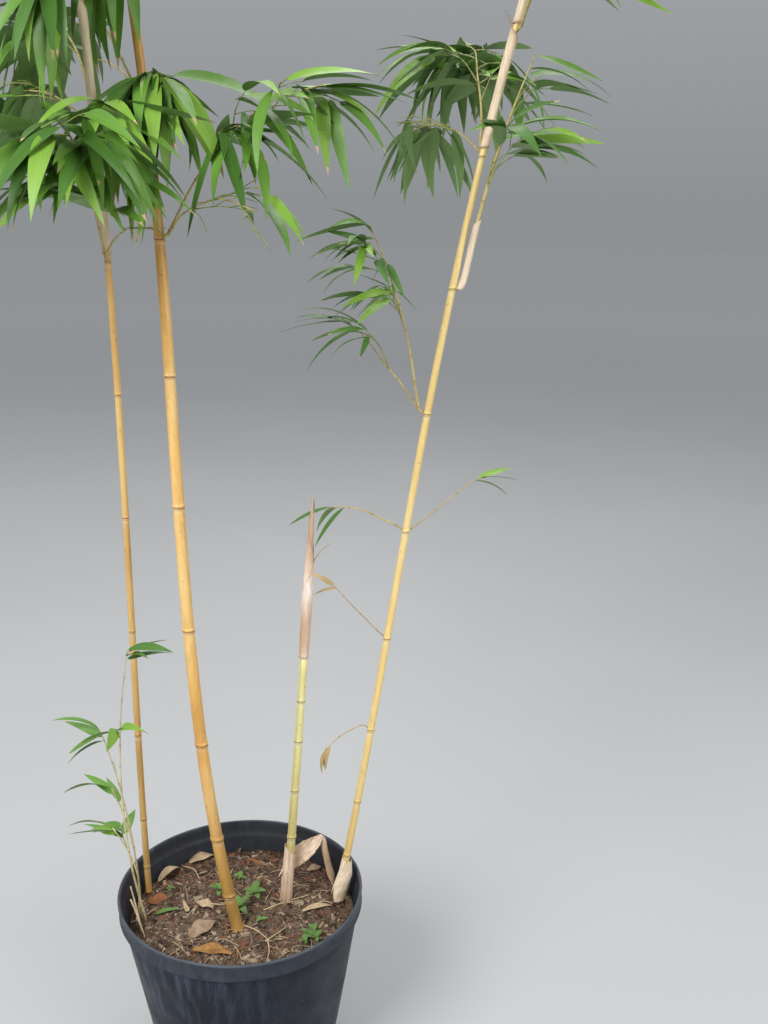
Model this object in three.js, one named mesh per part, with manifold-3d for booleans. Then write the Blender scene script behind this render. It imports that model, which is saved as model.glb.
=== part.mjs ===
// A potted golden bamboo: three tall culms, a young shoot and thin side culms in a black nursery pot.
// Millimetres, +Z up. The origin is the centre of the pot's flat underside. Azimuths run anticlockwise
// seen from above: 0 is +X (right), 90 is +Y (back), 180 is left and 270 is the front.
import * as THREE from "three";
import { mergeVertices } from "three/addons/utils/BufferGeometryUtils.js";
import Module from "manifold-3d";

const wasm = await Module();
wasm.setup();

// Driving dimensions

const GAP = 0.3;
const POT = {
  height: 370, rimRadius: 225, footRadius: 166, bandHeight: 34, bandStep: 7,
  wall: 3, lip: 5, edge: 2, sides: 40, bulge: 0.05, bulgeToward: 172,
};
const SOIL = { top: 310, edgeDrop: 3, clear: 1 };
const DRAIN = { holes: 8, radius: 9, ringShare: 0.8, sides: 8 };

// A culm's middle line is foot + lean h + bend h2 + curl h3, in millimetres, with h in metres, and runs
// straight on above STRAIGHT_ABOVE.
// Its crown is the nodes above crown.from, whose branches point to either side of crown.facing, the
// lowest one to its left for a positive fan.
const STRAIGHT_ABOVE = 1750;
const CULMS = [
  {
    name: "culm_left", foot: [-197, 60], height: 2150, radius: 6.1, tip: 1.4, fullness: 3,
    lean: [-14.6, -30], bend: [45.3, -20], curl: [-23, 0],
    internode: { first: 57, longest: 218, rate: 1.6 },
    crown: { from: 1150, facing: 200, fan: 140, reach: 320, seed: 11 },
  },
  {
    name: "culm_thick", foot: [-7, -47], height: 2480, radius: 11, tip: 1.6, fullness: 2,
    lean: [-212, 20], bend: [189, 30], curl: [-69, 0],
    internode: { first: 70, longest: 220, rate: 1.6 },
    crown: { from: 1200, facing: 60, fan: -150, reach: 370, seed: 23 },
  },
  {
    name: "culm_right", foot: [177, 41], height: 2330, radius: 6.9, tip: 1.4, fullness: 3,
    lean: [188, 50], bend: [-63, 0], curl: [35.5, 0],
    internode: { first: 99, longest: 216, rate: 2.7 },
    crown: { from: 1300, facing: 18, fan: 170, reach: 330, seed: 37 },
  },
];
const SHOOT = {
  name: "young_shoot", foot: [77.5, 35.5], height: 514, radius: 8.3, tip: 7.4, fullness: 1,
  lean: [79.5, 20], bend: [-15.4, 0],
  internode: { first: 60, longest: 103, rate: 1.2 },
};
// The growing tip's outline holds shares of its radius and height.
const SHOOT_TIP = {
  height: 306, radius: 9.2, outline: [[1, 0.12], [0.85, 0.45], [0.45, 0.8]],
  blade: { at: 0.52, length: 74, width: 9, rise: 55 },
};

// The right culm's low branches, by the number of the node that they grow from.
const LOW_BRANCHES = [
  { name: "dry_twig_1", node: 3, azimuth: 190, reach: 86, rise: -10, arch: 40, size: 0.3, radius: 1.2 },
  { name: "dry_twig_2", node: 4, azimuth: 175, reach: 122, rise: 46, arch: 4, size: 0.34, radius: 1.3 },
  { name: "low_branch_1", node: 5, azimuth: 188, reach: 130, rise: 30, arch: 30, size: 0.6, radius: 1.8 },
  { name: "low_branch_2", node: 6, azimuth: 176, reach: 330, rise: 80, arch: 14, size: 0.64, radius: 2.6 },
  { name: "side_shoot", node: 7, azimuth: 2, reach: 380, rise: 78, arch: 9, size: 0.85, radius: 4.6 },
];

const LONG_LOW_BRANCH = 200;

// Thin, weak culms at the pot's left edge, each leaning its own way.
const SIDE_CULMS = [
  { foot: [-184, -31], height: 570, lean: [-190, -40], bend: [340, 0], radius: 2.3, seed: 51 },
  { foot: [-194, -21], height: 400, lean: [24, -20], bend: [-380, 0], radius: 2.1, seed: 52 },
  { foot: [-201, -10], height: 270, lean: [110, 8], bend: [-920, 0], radius: 1.9, seed: 57 },
  { foot: [-205, 6], height: 175, lean: [200, 20], bend: [-2500, 0], radius: 1.7, seed: 54 },
];
const SIDE_CULM = {
  steps: 5, leafSize: 0.5,
  twig: { at: [0.52, 0.74], turn: [75, -70], turnSwing: 20, rise: 45, length: 55, radius: 1.1 },
};

// Papery sheaths: tubes round one internode of a culm, from above its node to near the next.
const SHEATHS = [
  { name: "sheath_left_1", culm: 0, node: 7 },
  { name: "sheath_left_2", culm: 0, node: 8 },
  { name: "sheath_left_3", culm: 0, node: 9 },
  { name: "sheath_right_1", culm: 2, node: 8 },
  { name: "sheath_right_2", culm: 2, node: 9 },
];
const SHEATH = { wall: 0.7, loose: 1.1, above: 14, below: 12, slant: 1.5 };

// Dry husks round the feet of the young shoot and the right culm, and one that has peeled off.
const HUSKS = [
  { name: "husk_shoot", culm: SHOOT, height: 132, foot: 1.2, waist: 3.4, mouth: 1.6 },
  { name: "husk_right", culm: CULMS[2], height: 84, foot: 2, waist: 9, mouth: 1.6 },
];
const HUSK_WAIST = 0.4;
const PEELED = { over: [84, 8, 172], to: [84, 22, -45], width: 34, narrowing: 0.65, wall: 0.9, steps: 10 };

const CULM_SIDES = 8;
const NODE = { ridge: 1.13, neck: 0.96, reach: 5, shorten: 0.6, flare: 1.16, flareHeight: 14, topClear: 60 };
const BRANCH = {
  above: 8, lead: 9, radius: 2.6, tip: 1.1, rise: 60, arch: 46, archPower: 1.3, steps: 4, wander: 14,
  spread: 24, back: 0.4, topClear: 120, azimuthSwing: 20,
};
const WEAKER = { reach: 0.66, radius: 0.75, rise: 30 };
const UPWARD = { rise: 14, reach: 0.5, size: 0.2, radius: 0.4 };
const TWIG = {
  count: 2, radius: 1.4, share: 0.34, first: 0.42, span: 0.44, shorten: 0.35,
  turn: 50, turnSwing: 14, drop: 16, dropSwing: 12, sag: 20,
};
const TIP_BRANCH = { reach: 240, rise: 78, size: 0.8, radius: 1.5 };
const LEAF = { length: 180, width: 0.19, thickness: 0.015, widest: 0.38, sag: 0.05, step: 13 };
const SPRAY = {
  stem: 4, twig: 3, turn: 40, turnSwing: 16, droop: 16, droopMore: 46, steepest: -82, flattest: 40,
  roll: 38, shortest: 0.8, longer: 0.34, first: 0.4,
};
const KEEP = { margin: 5, culm: 7, leafSamples: 5, twigSamples: 10, culmSamples: 24, shared: 15 };

const COLOURS = {
  pot: [0x23262b, 0.55],
  soil: [0x5a4636, 1],
  gold: [0xd9a441, 0.45],
  young: [0xc9bf6a, 0.5],
  sheath: [0xd8b48e, 0.8],
  husk: [0xd9c0a0, 0.9],
  straw: [0xc3a674, 0.8],
  leaf: [0x3f7a2a, 0.5],
};

const UP = new THREE.Vector3(0, 0, 1);

// A number from 0 to 1 that depends only on whole keys, so that a finer copy of a branch keeps its places.
function chance(...keys) {
  let h = 0x9e3779b9;
  for (const key of keys) {
    h = Math.imul(h ^ (key + 0x7f4a7c15), 0x85ebca6b);
    h ^= h >>> 13;
    h = Math.imul(h, 0xc2b2ae35);
    h ^= h >>> 16;
  }
  return (h >>> 0) / 4294967296;
}

const swing = (amount, ...keys) => amount * (2 * chance(...keys) - 1);
const radians = THREE.MathUtils.degToRad;

// The unit vector at an azimuth and an elevation, in degrees.
function heading(azimuth, elevation) {
  const a = radians(azimuth);
  const e = radians(elevation);
  return new THREE.Vector3(Math.cos(a) * Math.cos(e), Math.sin(a) * Math.cos(e), Math.sin(e));
}

function azimuthOf(direction) {
  return THREE.MathUtils.radToDeg(Math.atan2(direction.y, direction.x));
}

// The middle line, radius and nodes of a culm

function culmPoint(culm, height) {
  const h = Math.min(height, STRAIGHT_ABOVE) / 1000;
  const above = Math.max(0, height - STRAIGHT_ABOVE) / 1000;
  const along = (i) => {
    const [lean, bend, curl] = [culm.lean[i], culm.bend[i], culm.curl?.[i] ?? 0];
    const slope = lean + 2 * bend * h + 3 * curl * h * h;
    return culm.foot[i] + lean * h + bend * h ** 2 + curl * h ** 3 + slope * above;
  };
  return new THREE.Vector3(along(0), along(1), SOIL.top + GAP + height);
}

function culmRadius(culm, height) {
  const t = Math.min(1, height / culm.height);
  return culm.tip + (culm.radius - culm.tip) * (1 - t ** culm.fullness);
}

// The internodes lengthen up from the foot and shorten again in the upper half.
function nodeHeights(culm) {
  const { first, longest, rate } = culm.internode;
  const heights = [];
  let height = first;
  for (let k = 1; height < culm.height - NODE.topClear; k++) {
    heights.push(height);
    const grown = 1 - (1 - first / longest) * Math.exp(-((k / rate) ** 2));
    const fade = 1 - NODE.shorten * Math.max(0, (2 * height) / culm.height - 1);
    height += longest * grown * fade;
  }
  return heights;
}

// Shaping

// Moves each vertex of a geometry by a function that changes the vector it is given.
function moved(geometry, move) {
  const position = geometry.getAttribute("position");
  const v = new THREE.Vector3();
  for (let i = 0; i < position.count; i++) {
    move(v.fromBufferAttribute(position, i));
    position.setXYZ(i, v.x, v.y, v.z);
  }
  return geometry;
}

// A profile of [radius, height] turned about +Z.
function turned(profile, sides) {
  const points = profile.map(([radius, height]) => new THREE.Vector2(radius, height));
  return new THREE.LatheGeometry(points, sides).rotateX(Math.PI / 2);
}

// Shifts a shape made about +Z so that it follows a culm.
function alongCulm(culm, geometry) {
  return moved(geometry, (v) => {
    const middle = culmPoint(culm, v.z);
    v.set(v.x + middle.x, v.y + middle.y, middle.z);
  });
}

// A three-sided twig along points, tapering evenly.
function twigGeometry({ points, from, to }) {
  const steps = points.length - 1;
  const sideways = new THREE.Vector3();
  return moved(new THREE.CylinderGeometry(1, 1, steps, 3, steps), (v) => {
    const i = Math.round(v.y + steps / 2);
    const along = points[Math.min(steps, i + 1)].clone().sub(points[Math.max(0, i - 1)]).normalize();
    sideways.set(-along.y, along.x, 0);
    if (sideways.length() < 1e-3) sideways.set(0, 1, 0);
    sideways.normalize();
    const across = sideways.clone().cross(along);
    const radius = from + ((to - from) * i) / steps;
    const { x, z } = v;
    v.copy(points[i]).addScaledVector(sideways, x * radius).addScaledVector(across, z * radius);
  });
}

// A leaf: eight faces from its foot to its tip, widest at its shoulder, with a slight arch.
function leafGeometry({ base, tip, across }) {
  const along = tip.clone().sub(base);
  const length = along.length();
  const normal = along.clone().cross(across).normalize();
  const shoulder = base.clone().addScaledVector(along, LEAF.widest);
  shoulder.addScaledVector(normal, LEAF.sag * length);
  return moved(new THREE.OctahedronGeometry(1), (v) => {
    const { x, y, z } = v;
    if (Math.abs(x) > 0.5) {
      v.copy(x < 0 ? base : tip);
      return;
    }
    v.copy(shoulder).addScaledVector(across, (y * length * LEAF.width) / 2);
    v.addScaledVector(normal, (z * length * LEAF.thickness) / 2);
  });
}

function solidOf(geometry) {
  const bare = geometry.clone().deleteAttribute("normal").deleteAttribute("uv");
  const merged = mergeVertices(bare, 1e-4);
  return new wasm.Manifold(
    new wasm.Mesh({
      numProp: 3,
      vertProperties: merged.getAttribute("position").array,
      triVerts: new Uint32Array(merged.index.array),
    }),
  );
}

function geometryOf(solid) {
  const { vertProperties, triVerts } = solid.getMesh();
  const geometry = new THREE.BufferGeometry();
  geometry.setAttribute("position", new THREE.BufferAttribute(vertProperties, 3));
  geometry.setIndex(new THREE.BufferAttribute(triVerts, 1));
  geometry.computeVertexNormals();
  return geometry;
}

// Pot and soil

function potOutline() {
  const shoulder = POT.height - POT.bandHeight;
  const under = POT.rimRadius - POT.bandStep;
  return {
    outside: [
      [POT.footRadius - POT.edge, 0],
      [POT.footRadius, POT.edge],
      [under, shoulder],
      [POT.rimRadius - POT.edge, shoulder + POT.edge],
      [POT.rimRadius, POT.height - POT.edge],
      [POT.rimRadius - POT.edge, POT.height],
    ],
    inside: [
      [POT.rimRadius - POT.lip, POT.height],
      [POT.rimRadius - POT.lip, shoulder + POT.lip],
      [under - POT.wall, shoulder - POT.edge],
      [POT.footRadius - POT.wall, POT.wall + POT.edge],
    ],
  };
}

// The soft rim is pulled out of round on one side, the more the higher.
function outOfRound(v) {
  const toward = Math.max(0, Math.cos(Math.atan2(v.y, v.x) - radians(POT.bulgeToward)));
  const stretch = 1 + POT.bulge * toward ** 2 * (v.z / POT.height) ** 2;
  v.set(v.x * stretch, v.y * stretch, v.z);
}

function potGeometry() {
  const { outside, inside } = potOutline();
  const floor = inside.at(-1)[1];
  const profile = [[0, 0], ...outside, ...inside, [0, floor]];
  const drill = new THREE.CylinderGeometry(DRAIN.radius, DRAIN.radius, 4 * floor, DRAIN.sides);
  drill.rotateX(Math.PI / 2);
  let pot = solidOf(moved(turned(profile, POT.sides), outOfRound));
  for (let i = 0; i < DRAIN.holes; i++) {
    const at = heading((360 * (i + 0.5)) / DRAIN.holes, 0).multiplyScalar(POT.footRadius * DRAIN.ringShare);
    pot = pot.subtract(solidOf(drill.clone().translate(at.x, at.y, 0)));
  }
  return geometryOf(pot);
}

function soilGeometry() {
  const { inside } = potOutline();
  const [topRadius, topHeight] = inside[2];
  const [footRadius, floor] = inside[3];
  const slope = (topRadius - footRadius) / (topHeight - floor);
  const wallAt = (z) => footRadius + slope * (z - floor) - SOIL.clear;
  const bottom = floor + GAP;
  const edge = SOIL.top - SOIL.edgeDrop;
  const profile = [
    [0, bottom],
    [wallAt(bottom), bottom],
    [wallAt(edge), edge],
    [wallAt(edge) - SOIL.edgeDrop, SOIL.top],
    [0, SOIL.top],
  ];
  return moved(turned(profile, POT.sides), outOfRound);
}

// Culms, sheaths and husks

function culmGeometry(culm) {
  const profile = [
    [0, 0],
    [culmRadius(culm, 0) * NODE.flare, 0],
    [culmRadius(culm, NODE.flareHeight), NODE.flareHeight],
  ];
  for (const h of nodeHeights(culm)) {
    const radius = culmRadius(culm, h);
    profile.push([radius * NODE.neck, h - NODE.reach]);
    profile.push([radius * NODE.ridge, h]);
    profile.push([radius * NODE.neck, h + NODE.reach]);
  }
  profile.push([culm.tip, culm.height], [0, culm.height]);
  return alongCulm(culm, turned(profile, CULM_SIDES));
}

// A thin tube open at both ends, given as [inner radius, height] from its foot to its mouth.
function tubeGeometry(culm, inner, wall, slant) {
  const outer = inner.map(([radius, height]) => [radius + wall, height]);
  const profile = [...outer, ...inner.toReversed(), outer[0]];
  const top = inner.at(-1)[1];
  const foot = inner[0][1];
  const tube = moved(turned(profile, CULM_SIDES), (v) => {
    const share = Math.max(0, (2 * (v.z - foot)) / (top - foot) - 1);
    v.z += slant * share * v.x;
  });
  return alongCulm(culm, tube);
}

function sheathGeometry({ culm: index, node }) {
  const culm = CULMS[index];
  const heights = nodeHeights(culm);
  const from = heights[node - 1] + SHEATH.above;
  const to = heights[node] - SHEATH.below;
  const snug = (h) => culmRadius(culm, h) + GAP;
  const middle = (from + to) / 2;
  const inner = [
    [snug(from), from],
    [snug(middle) + SHEATH.loose, middle],
    [snug(to) + 2 * SHEATH.loose, to],
  ];
  return tubeGeometry(culm, inner, SHEATH.wall, SHEATH.slant);
}

function huskInner({ culm, height, foot, waist, mouth }) {
  const around = (h, loose) => [culmRadius(culm, h) * NODE.flare + GAP + loose, h];
  return [around(0, foot), around(height * HUSK_WAIST, waist), around(height, mouth)];
}

function huskGeometry(husk) {
  return tubeGeometry(husk.culm, huskInner(husk), SHEATH.wall, SHEATH.slant);
}

// The wrapped growing point of the young shoot, with one small blade that stands off it.
function shootTipGeometry() {
  const { height, radius, outline, blade } = SHOOT_TIP;
  const foot = SHOOT.height + GAP;
  const middle = outline.map(([wide, high]) => [radius * wide, foot + height * high]);
  const profile = [[0, foot], [SHOOT.tip, foot], ...middle, [0, foot + height]];
  const wrap = solidOf(alongCulm(SHOOT, turned(profile, CULM_SIDES)));
  const base = culmPoint(SHOOT, foot + height * blade.at);
  const tip = base.clone().addScaledVector(heading(0, blade.rise), blade.length);
  const across = heading(90, 0).multiplyScalar(blade.width / (blade.length * LEAF.width));
  return geometryOf(wrap.add(solidOf(leafGeometry({ base, tip, across }))));
}

// A broad dry sheath that arches from behind the young shoot's husk and hangs over, face on to the front.
function peeledGeometry() {
  const [inner, height] = huskInner(HUSKS[0])[1];
  const root = culmPoint(SHOOT, height);
  root.y += inner + SHEATH.wall + GAP + PEELED.wall;
  const place = (offset) => root.clone().add(new THREE.Vector3(...offset));
  const arch = new THREE.QuadraticBezierCurve3(root, place(PEELED.over), place(PEELED.to));
  const strip = new THREE.BoxGeometry(1, PEELED.width, PEELED.wall, PEELED.steps, 1, 1);
  const sideways = heading(90, 0);
  return moved(strip, (v) => {
    const t = v.x + 0.5;
    const along = arch.getTangent(t);
    const across = along.clone().cross(sideways).normalize();
    const narrow = 1 - PEELED.narrowing * t;
    const { y, z } = v;
    v.copy(arch.getPoint(t)).addScaledVector(across, y * narrow).addScaledVector(sideways, -z);
  });
}

// Branches: a stem from a culm's node with a weaker one beside it, twigs on both, and leaves in sprays.

function stemPoints(start, turn, rise, arch, reach, seed) {
  const points = [start];
  for (let i = 0; i < BRANCH.steps; i++) {
    const bent = rise - arch * (i / (BRANCH.steps - 1)) ** BRANCH.archPower;
    const direction = heading(turn + swing(BRANCH.wander, seed, 1, i), bent);
    points.push(points[i].clone().addScaledVector(direction, reach / BRANCH.steps));
  }
  return points;
}

function pointOn(points, share) {
  const at = share * (points.length - 1);
  const i = Math.min(points.length - 2, Math.floor(at));
  return points[i].clone().lerp(points[i + 1], at - i);
}

// The point at a distance back along a limb from its end.
function pointBack(points, distance) {
  let left = distance;
  for (let i = points.length - 1; i > 0; i--) {
    const long = points[i].distanceTo(points[i - 1]);
    if (left < long) return points[i].clone().lerp(points[i - 1], left / long);
    left -= long;
  }
  return points[0].clone();
}

function twigPlan(points, from, seed) {
  return { points, from, to: BRANCH.tip, leaves: SPRAY.twig, seed, twigs: [] };
}

// A stem with the twigs that grow on it, where k is 0 for the main stem and 1 for the weaker one.
// Each limb ends in a spray of leaves.
function stemPlan(branch, foot, k) {
  const { azimuth, rise, arch, reach, seed, radius, twigs } = branch;
  const hand = chance(seed, 2) < 0.5 ? 1 : -1;
  const turn = azimuth + (k ? 1 : -BRANCH.back) * hand * BRANCH.spread;
  const length = reach * (k ? WEAKER.reach : 1);
  const points = stemPoints(foot, turn, rise - WEAKER.rise * k, arch, length, seed + k);
  const from = radius * (k ? WEAKER.radius : 1);
  const stem = { points, from, to: BRANCH.tip, leaves: SPRAY.stem, seed: seed + 50 * k, twigs: [] };
  for (let j = 0; j < twigs - k; j++) {
    const share = TWIG.first + (TWIG.span * j) / twigs;
    const side = (j + k) % 2 ? 1 : -1;
    const away = turn + side * (TWIG.turn + swing(TWIG.turnSwing, seed, 3, k, j));
    const lift = rise - TWIG.drop - arch * share + swing(TWIG.dropSwing, seed, 4, k, j);
    const half = (reach * TWIG.share * (1 - TWIG.shorten * share)) / 2;
    const begin = pointOn(points, share);
    const bend = begin.clone().addScaledVector(heading(away, lift), half);
    const end = bend.clone().addScaledVector(heading(away, lift - TWIG.sag), half);
    stem.twigs.push(twigPlan([begin, bend, end], TWIG.radius, seed + 11 * (j + 1) + 50 * k));
  }
  return stem;
}

function branchPlan(branch) {
  const foot = branch.start.clone().addScaledVector(branch.lead, BRANCH.lead);
  const main = stemPlan(branch, foot, 0);
  main.points = [branch.start, ...main.points];
  const side = branch.twigs > 0 ? [stemPlan(branch, foot, 1)] : [];
  return { ...branch, axis: main.points, limb: { ...main, twigs: [...side, ...main.twigs] } };
}

// The leaves at a twig's end alternate back along it. The last runs on, and all of them droop.
function sprayLeaves({ points, seed, leaves: count }, size) {
  const along = points.at(-1).clone().sub(points.at(-2)).normalize();
  const azimuth = azimuthOf(along);
  const elevation = THREE.MathUtils.radToDeg(Math.asin(along.z));
  const leaves = [];
  for (let i = 0; i < count; i++) {
    const side = i === 0 ? 0 : i % 2 ? 1 : -1;
    const droop = SPRAY.droop + SPRAY.droopMore * chance(seed, 31, i);
    const turn = azimuth + side * (SPRAY.turn + swing(SPRAY.turnSwing, seed, 32, i));
    const fall = Math.max(SPRAY.steepest, Math.min(elevation, SPRAY.flattest) - droop);
    const direction = heading(turn, fall);
    const length = LEAF.length * size * (SPRAY.shortest + SPRAY.longer * chance(seed, 33, i));
    const level = new THREE.Vector3(-direction.y, direction.x, 0).normalize();
    const across = level.applyAxisAngle(direction, radians(swing(SPRAY.roll, seed, 34, i)));
    const base = pointBack(points, LEAF.step * size * (i + SPRAY.first));
    leaves.push({ base, across, tip: base.clone().addScaledVector(direction, length) });
  }
  return leaves;
}

// Where the branches are

// A branch's flat foot is upright, so it starts further out where the culm leans towards it or away.
function branchAt(culm, height, branch) {
  const lead = heading(branch.azimuth, 0);
  const start = culmPoint(culm, height + BRANCH.above);
  const lean = start.clone().sub(culmPoint(culm, height)).divideScalar(BRANCH.above);
  const surface = culmRadius(culm, height) * NODE.neck + branch.radius * Math.abs(lean.dot(lead));
  start.addScaledVector(lead, surface + GAP);
  return branchPlan({ ...branch, start, lead });
}

function crownBranches(culm) {
  const { from, facing, fan, reach, seed } = culm.crown;
  const heights = nodeHeights(culm).filter((h) => h > from && h < culm.height - BRANCH.topClear);
  return heights.map((h, i) => {
    const share = (h - from) / (culm.height - from);
    return branchAt(culm, h, {
      name: `${culm.name.replace("culm", "foliage")}_${i + 1}`,
      azimuth: facing + (i % 2 ? -fan : fan) / 2 + swing(BRANCH.azimuthSwing, seed, 5, i),
      rise: BRANCH.rise + UPWARD.rise * share,
      arch: BRANCH.arch,
      reach: reach * (1 - UPWARD.reach * share),
      size: 1 - UPWARD.size * share,
      radius: BRANCH.radius * (1 - UPWARD.radius * share),
      twigs: TWIG.count,
      seed: seed * 1000 + i * 200,
    });
  });
}

function tipBranch(culm) {
  const top = culmPoint(culm, culm.height);
  const lean = top.clone().sub(culmPoint(culm, culm.height - NODE.topClear));
  return branchPlan({
    ...TIP_BRANCH,
    name: culm.name.replace("culm", "foliage") + "_top",
    start: top.addScaledVector(UP, GAP),
    lead: UP,
    azimuth: azimuthOf(lean),
    arch: BRANCH.arch,
    twigs: TWIG.count,
    seed: culm.crown.seed * 1000 + 900,
  });
}

function lowBranches(culm) {
  const heights = nodeHeights(culm);
  return LOW_BRANCHES.map((low) => {
    const twigs = low.reach > LONG_LOW_BRANCH ? TWIG.count : 0;
    return branchAt(culm, heights[low.node - 1], { ...low, twigs, seed: 61000 + 200 * low.node });
  });
}

function sideCulmPlan(side, i) {
  const foot = culmPoint(side, 0);
  const points = [foot, foot.clone().addScaledVector(UP, BRANCH.lead)];
  const step = side.height / SIDE_CULM.steps;
  for (let k = 1; k <= SIDE_CULM.steps; k++) points.push(culmPoint(side, step * k));
  const ahead = azimuthOf(points.at(-1).clone().sub(points.at(-2)));
  const limb = twigPlan(points, side.radius, side.seed * 10);
  const { at, turn, turnSwing, rise, length, radius } = SIDE_CULM.twig;
  for (const [j, share] of at.entries()) {
    const begin = pointOn(points, share);
    const away = ahead + turn[j] + swing(turnSwing, side.seed, 6, j);
    const end = begin.clone().addScaledVector(heading(away, rise), length);
    limb.twigs.push(twigPlan([begin, end], radius, side.seed * 10 + j + 1));
  }
  return { name: `side_culm_${i + 1}`, size: SIDE_CULM.leafSize, axis: points, limb };
}

const plants = [
  ...CULMS.flatMap((culm) => [...crownBranches(culm), tipBranch(culm)]),
  ...lowBranches(CULMS[2]),
  ...SIDE_CULMS.map(sideCulmPlan),
];

// Keeping apart: a twig or leaf stays nearer to its own stem than to any other, and clear of every culm.

const culmLines = [...CULMS, { ...SHOOT, height: SHOOT.height + SHOOT_TIP.height }].map((culm) => {
  const step = culm.height / KEEP.culmSamples;
  const points = [];
  for (let i = 0; i <= KEEP.culmSamples; i++) points.push(culmPoint(culm, step * i));
  return { points, radius: culm.radius };
});

function distanceTo(points, p) {
  const line = new THREE.Line3();
  const closest = new THREE.Vector3();
  let best = Infinity;
  for (let i = 0; i + 1 < points.length; i++) {
    line.set(points[i], points[i + 1]).closestPointToPoint(p, true, closest);
    best = Math.min(best, closest.distanceTo(p));
  }
  return best;
}

function pointIsFree(plant, p) {
  const own = distanceTo(plant.axis, p) + KEEP.margin;
  if (plants.some((other) => other !== plant && distanceTo(other.axis, p) < own)) return false;
  if (p.z < SOIL.top + KEEP.culm) return false;
  return culmLines.every((culm) => distanceTo(culm.points, p) > culm.radius + KEEP.culm);
}

function limbIsFree(plant, { points }) {
  for (let i = 1; i <= KEEP.twigSamples; i++) {
    if (!pointIsFree(plant, pointOn(points, i / KEEP.twigSamples))) return false;
  }
  return true;
}

function leafIsFree(plant, { base, tip, across }) {
  const half = (base.distanceTo(tip) * LEAF.width) / 2;
  for (let i = 1; i <= KEEP.leafSamples; i++) {
    const t = i / KEEP.leafSamples;
    const p = base.clone().lerp(tip, t);
    const side = half * Math.min(t / LEAF.widest, (1 - t) / (1 - LEAF.widest));
    for (const edge of [-side, 0, side]) {
      if (!pointIsFree(plant, p.clone().addScaledVector(across, edge))) return false;
    }
  }
  return true;
}

// One solid from a limb, its twigs and their leaves. A leaf that would run through another is left out.
function foliageGeometry(plant) {
  let solid = solidOf(twigGeometry(plant.limb));
  const grow = (limb) => {
    for (const leaf of sprayLeaves(limb, plant.size)) {
      if (!leafIsFree(plant, leaf)) continue;
      const blade = solidOf(leafGeometry(leaf));
      if (solid.intersect(blade).volume() > KEEP.shared) continue;
      solid = solid.add(blade);
    }
    for (const twig of limb.twigs) {
      if (!limbIsFree(plant, twig)) continue;
      solid = solid.add(solidOf(twigGeometry(twig)));
      grow(twig);
    }
  };
  grow(plant.limb);
  return geometryOf(solid);
}

// Assembly

const bamboo = new THREE.Group();

function addPiece(name, geometry, [color, roughness]) {
  const mesh = new THREE.Mesh(geometry, new THREE.MeshStandardMaterial({ color, roughness, metalness: 0 }));
  mesh.name = name;
  bamboo.add(mesh);
}

addPiece("pot", potGeometry(), COLOURS.pot);
addPiece("soil", soilGeometry(), COLOURS.soil);
for (const culm of CULMS) addPiece(culm.name, culmGeometry(culm), COLOURS.gold);
addPiece(SHOOT.name, culmGeometry(SHOOT), COLOURS.young);
addPiece("shoot_tip", shootTipGeometry(), COLOURS.sheath);
for (const sheath of SHEATHS) addPiece(sheath.name, sheathGeometry(sheath), COLOURS.sheath);
for (const husk of HUSKS) addPiece(husk.name, huskGeometry(husk), COLOURS.husk);
addPiece("husk_peeled", peeledGeometry(), COLOURS.husk);
for (const plant of plants) {
  const colour = plant.name.startsWith("dry") ? COLOURS.straw : COLOURS.leaf;
  addPiece(plant.name, foliageGeometry(plant), colour);
}

export default bamboo;
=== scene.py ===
"""A potted golden bamboo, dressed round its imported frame.

Metres, +Z up. The origin is the centre of the pot's flat underside. Azimuths run anticlockwise seen from
above: 0 is +X (right), 90 is +Y (back), 180 is left and 270 is the front.
"""

import math
from types import SimpleNamespace as Spec

import bpy
import numpy as np
from mathutils import Matrix, Vector, noise


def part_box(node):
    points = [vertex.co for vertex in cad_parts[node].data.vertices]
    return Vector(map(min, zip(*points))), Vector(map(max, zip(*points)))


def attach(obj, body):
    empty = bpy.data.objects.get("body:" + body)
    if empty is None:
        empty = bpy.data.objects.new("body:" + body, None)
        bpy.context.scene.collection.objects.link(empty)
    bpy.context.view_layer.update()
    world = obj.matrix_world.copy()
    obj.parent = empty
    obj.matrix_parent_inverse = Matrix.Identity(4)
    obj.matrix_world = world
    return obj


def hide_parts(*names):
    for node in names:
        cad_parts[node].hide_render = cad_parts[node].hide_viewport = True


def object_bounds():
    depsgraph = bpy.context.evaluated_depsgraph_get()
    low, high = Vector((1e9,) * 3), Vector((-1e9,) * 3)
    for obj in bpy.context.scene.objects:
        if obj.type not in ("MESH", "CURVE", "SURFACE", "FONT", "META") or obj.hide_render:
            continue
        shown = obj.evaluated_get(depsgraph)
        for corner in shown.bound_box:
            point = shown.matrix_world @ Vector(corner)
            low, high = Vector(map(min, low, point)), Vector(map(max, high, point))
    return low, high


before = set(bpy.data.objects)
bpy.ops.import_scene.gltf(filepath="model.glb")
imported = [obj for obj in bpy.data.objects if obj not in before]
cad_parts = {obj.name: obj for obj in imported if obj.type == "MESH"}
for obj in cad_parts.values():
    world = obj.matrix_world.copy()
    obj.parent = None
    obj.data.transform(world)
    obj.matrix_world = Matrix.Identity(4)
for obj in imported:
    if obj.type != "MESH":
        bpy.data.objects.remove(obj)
cad_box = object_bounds()


def table(keys, *rows):
    """A list of specs, one for each row of values under the same keys."""
    return [dict(zip(keys.split(), row)) for row in rows]


# The camera stands where the photograph was taken from. Its focal length and its picture's long side are in
# pixels, and the film is in millimetres across.
CAMERA = Spec(place=(0.2573, -1.7405, 1.6249), down=16.3, roll=0.8, focal=1060, long_side=1024)
FILM = 36

# The plant, in the sizes of its frame

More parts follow.
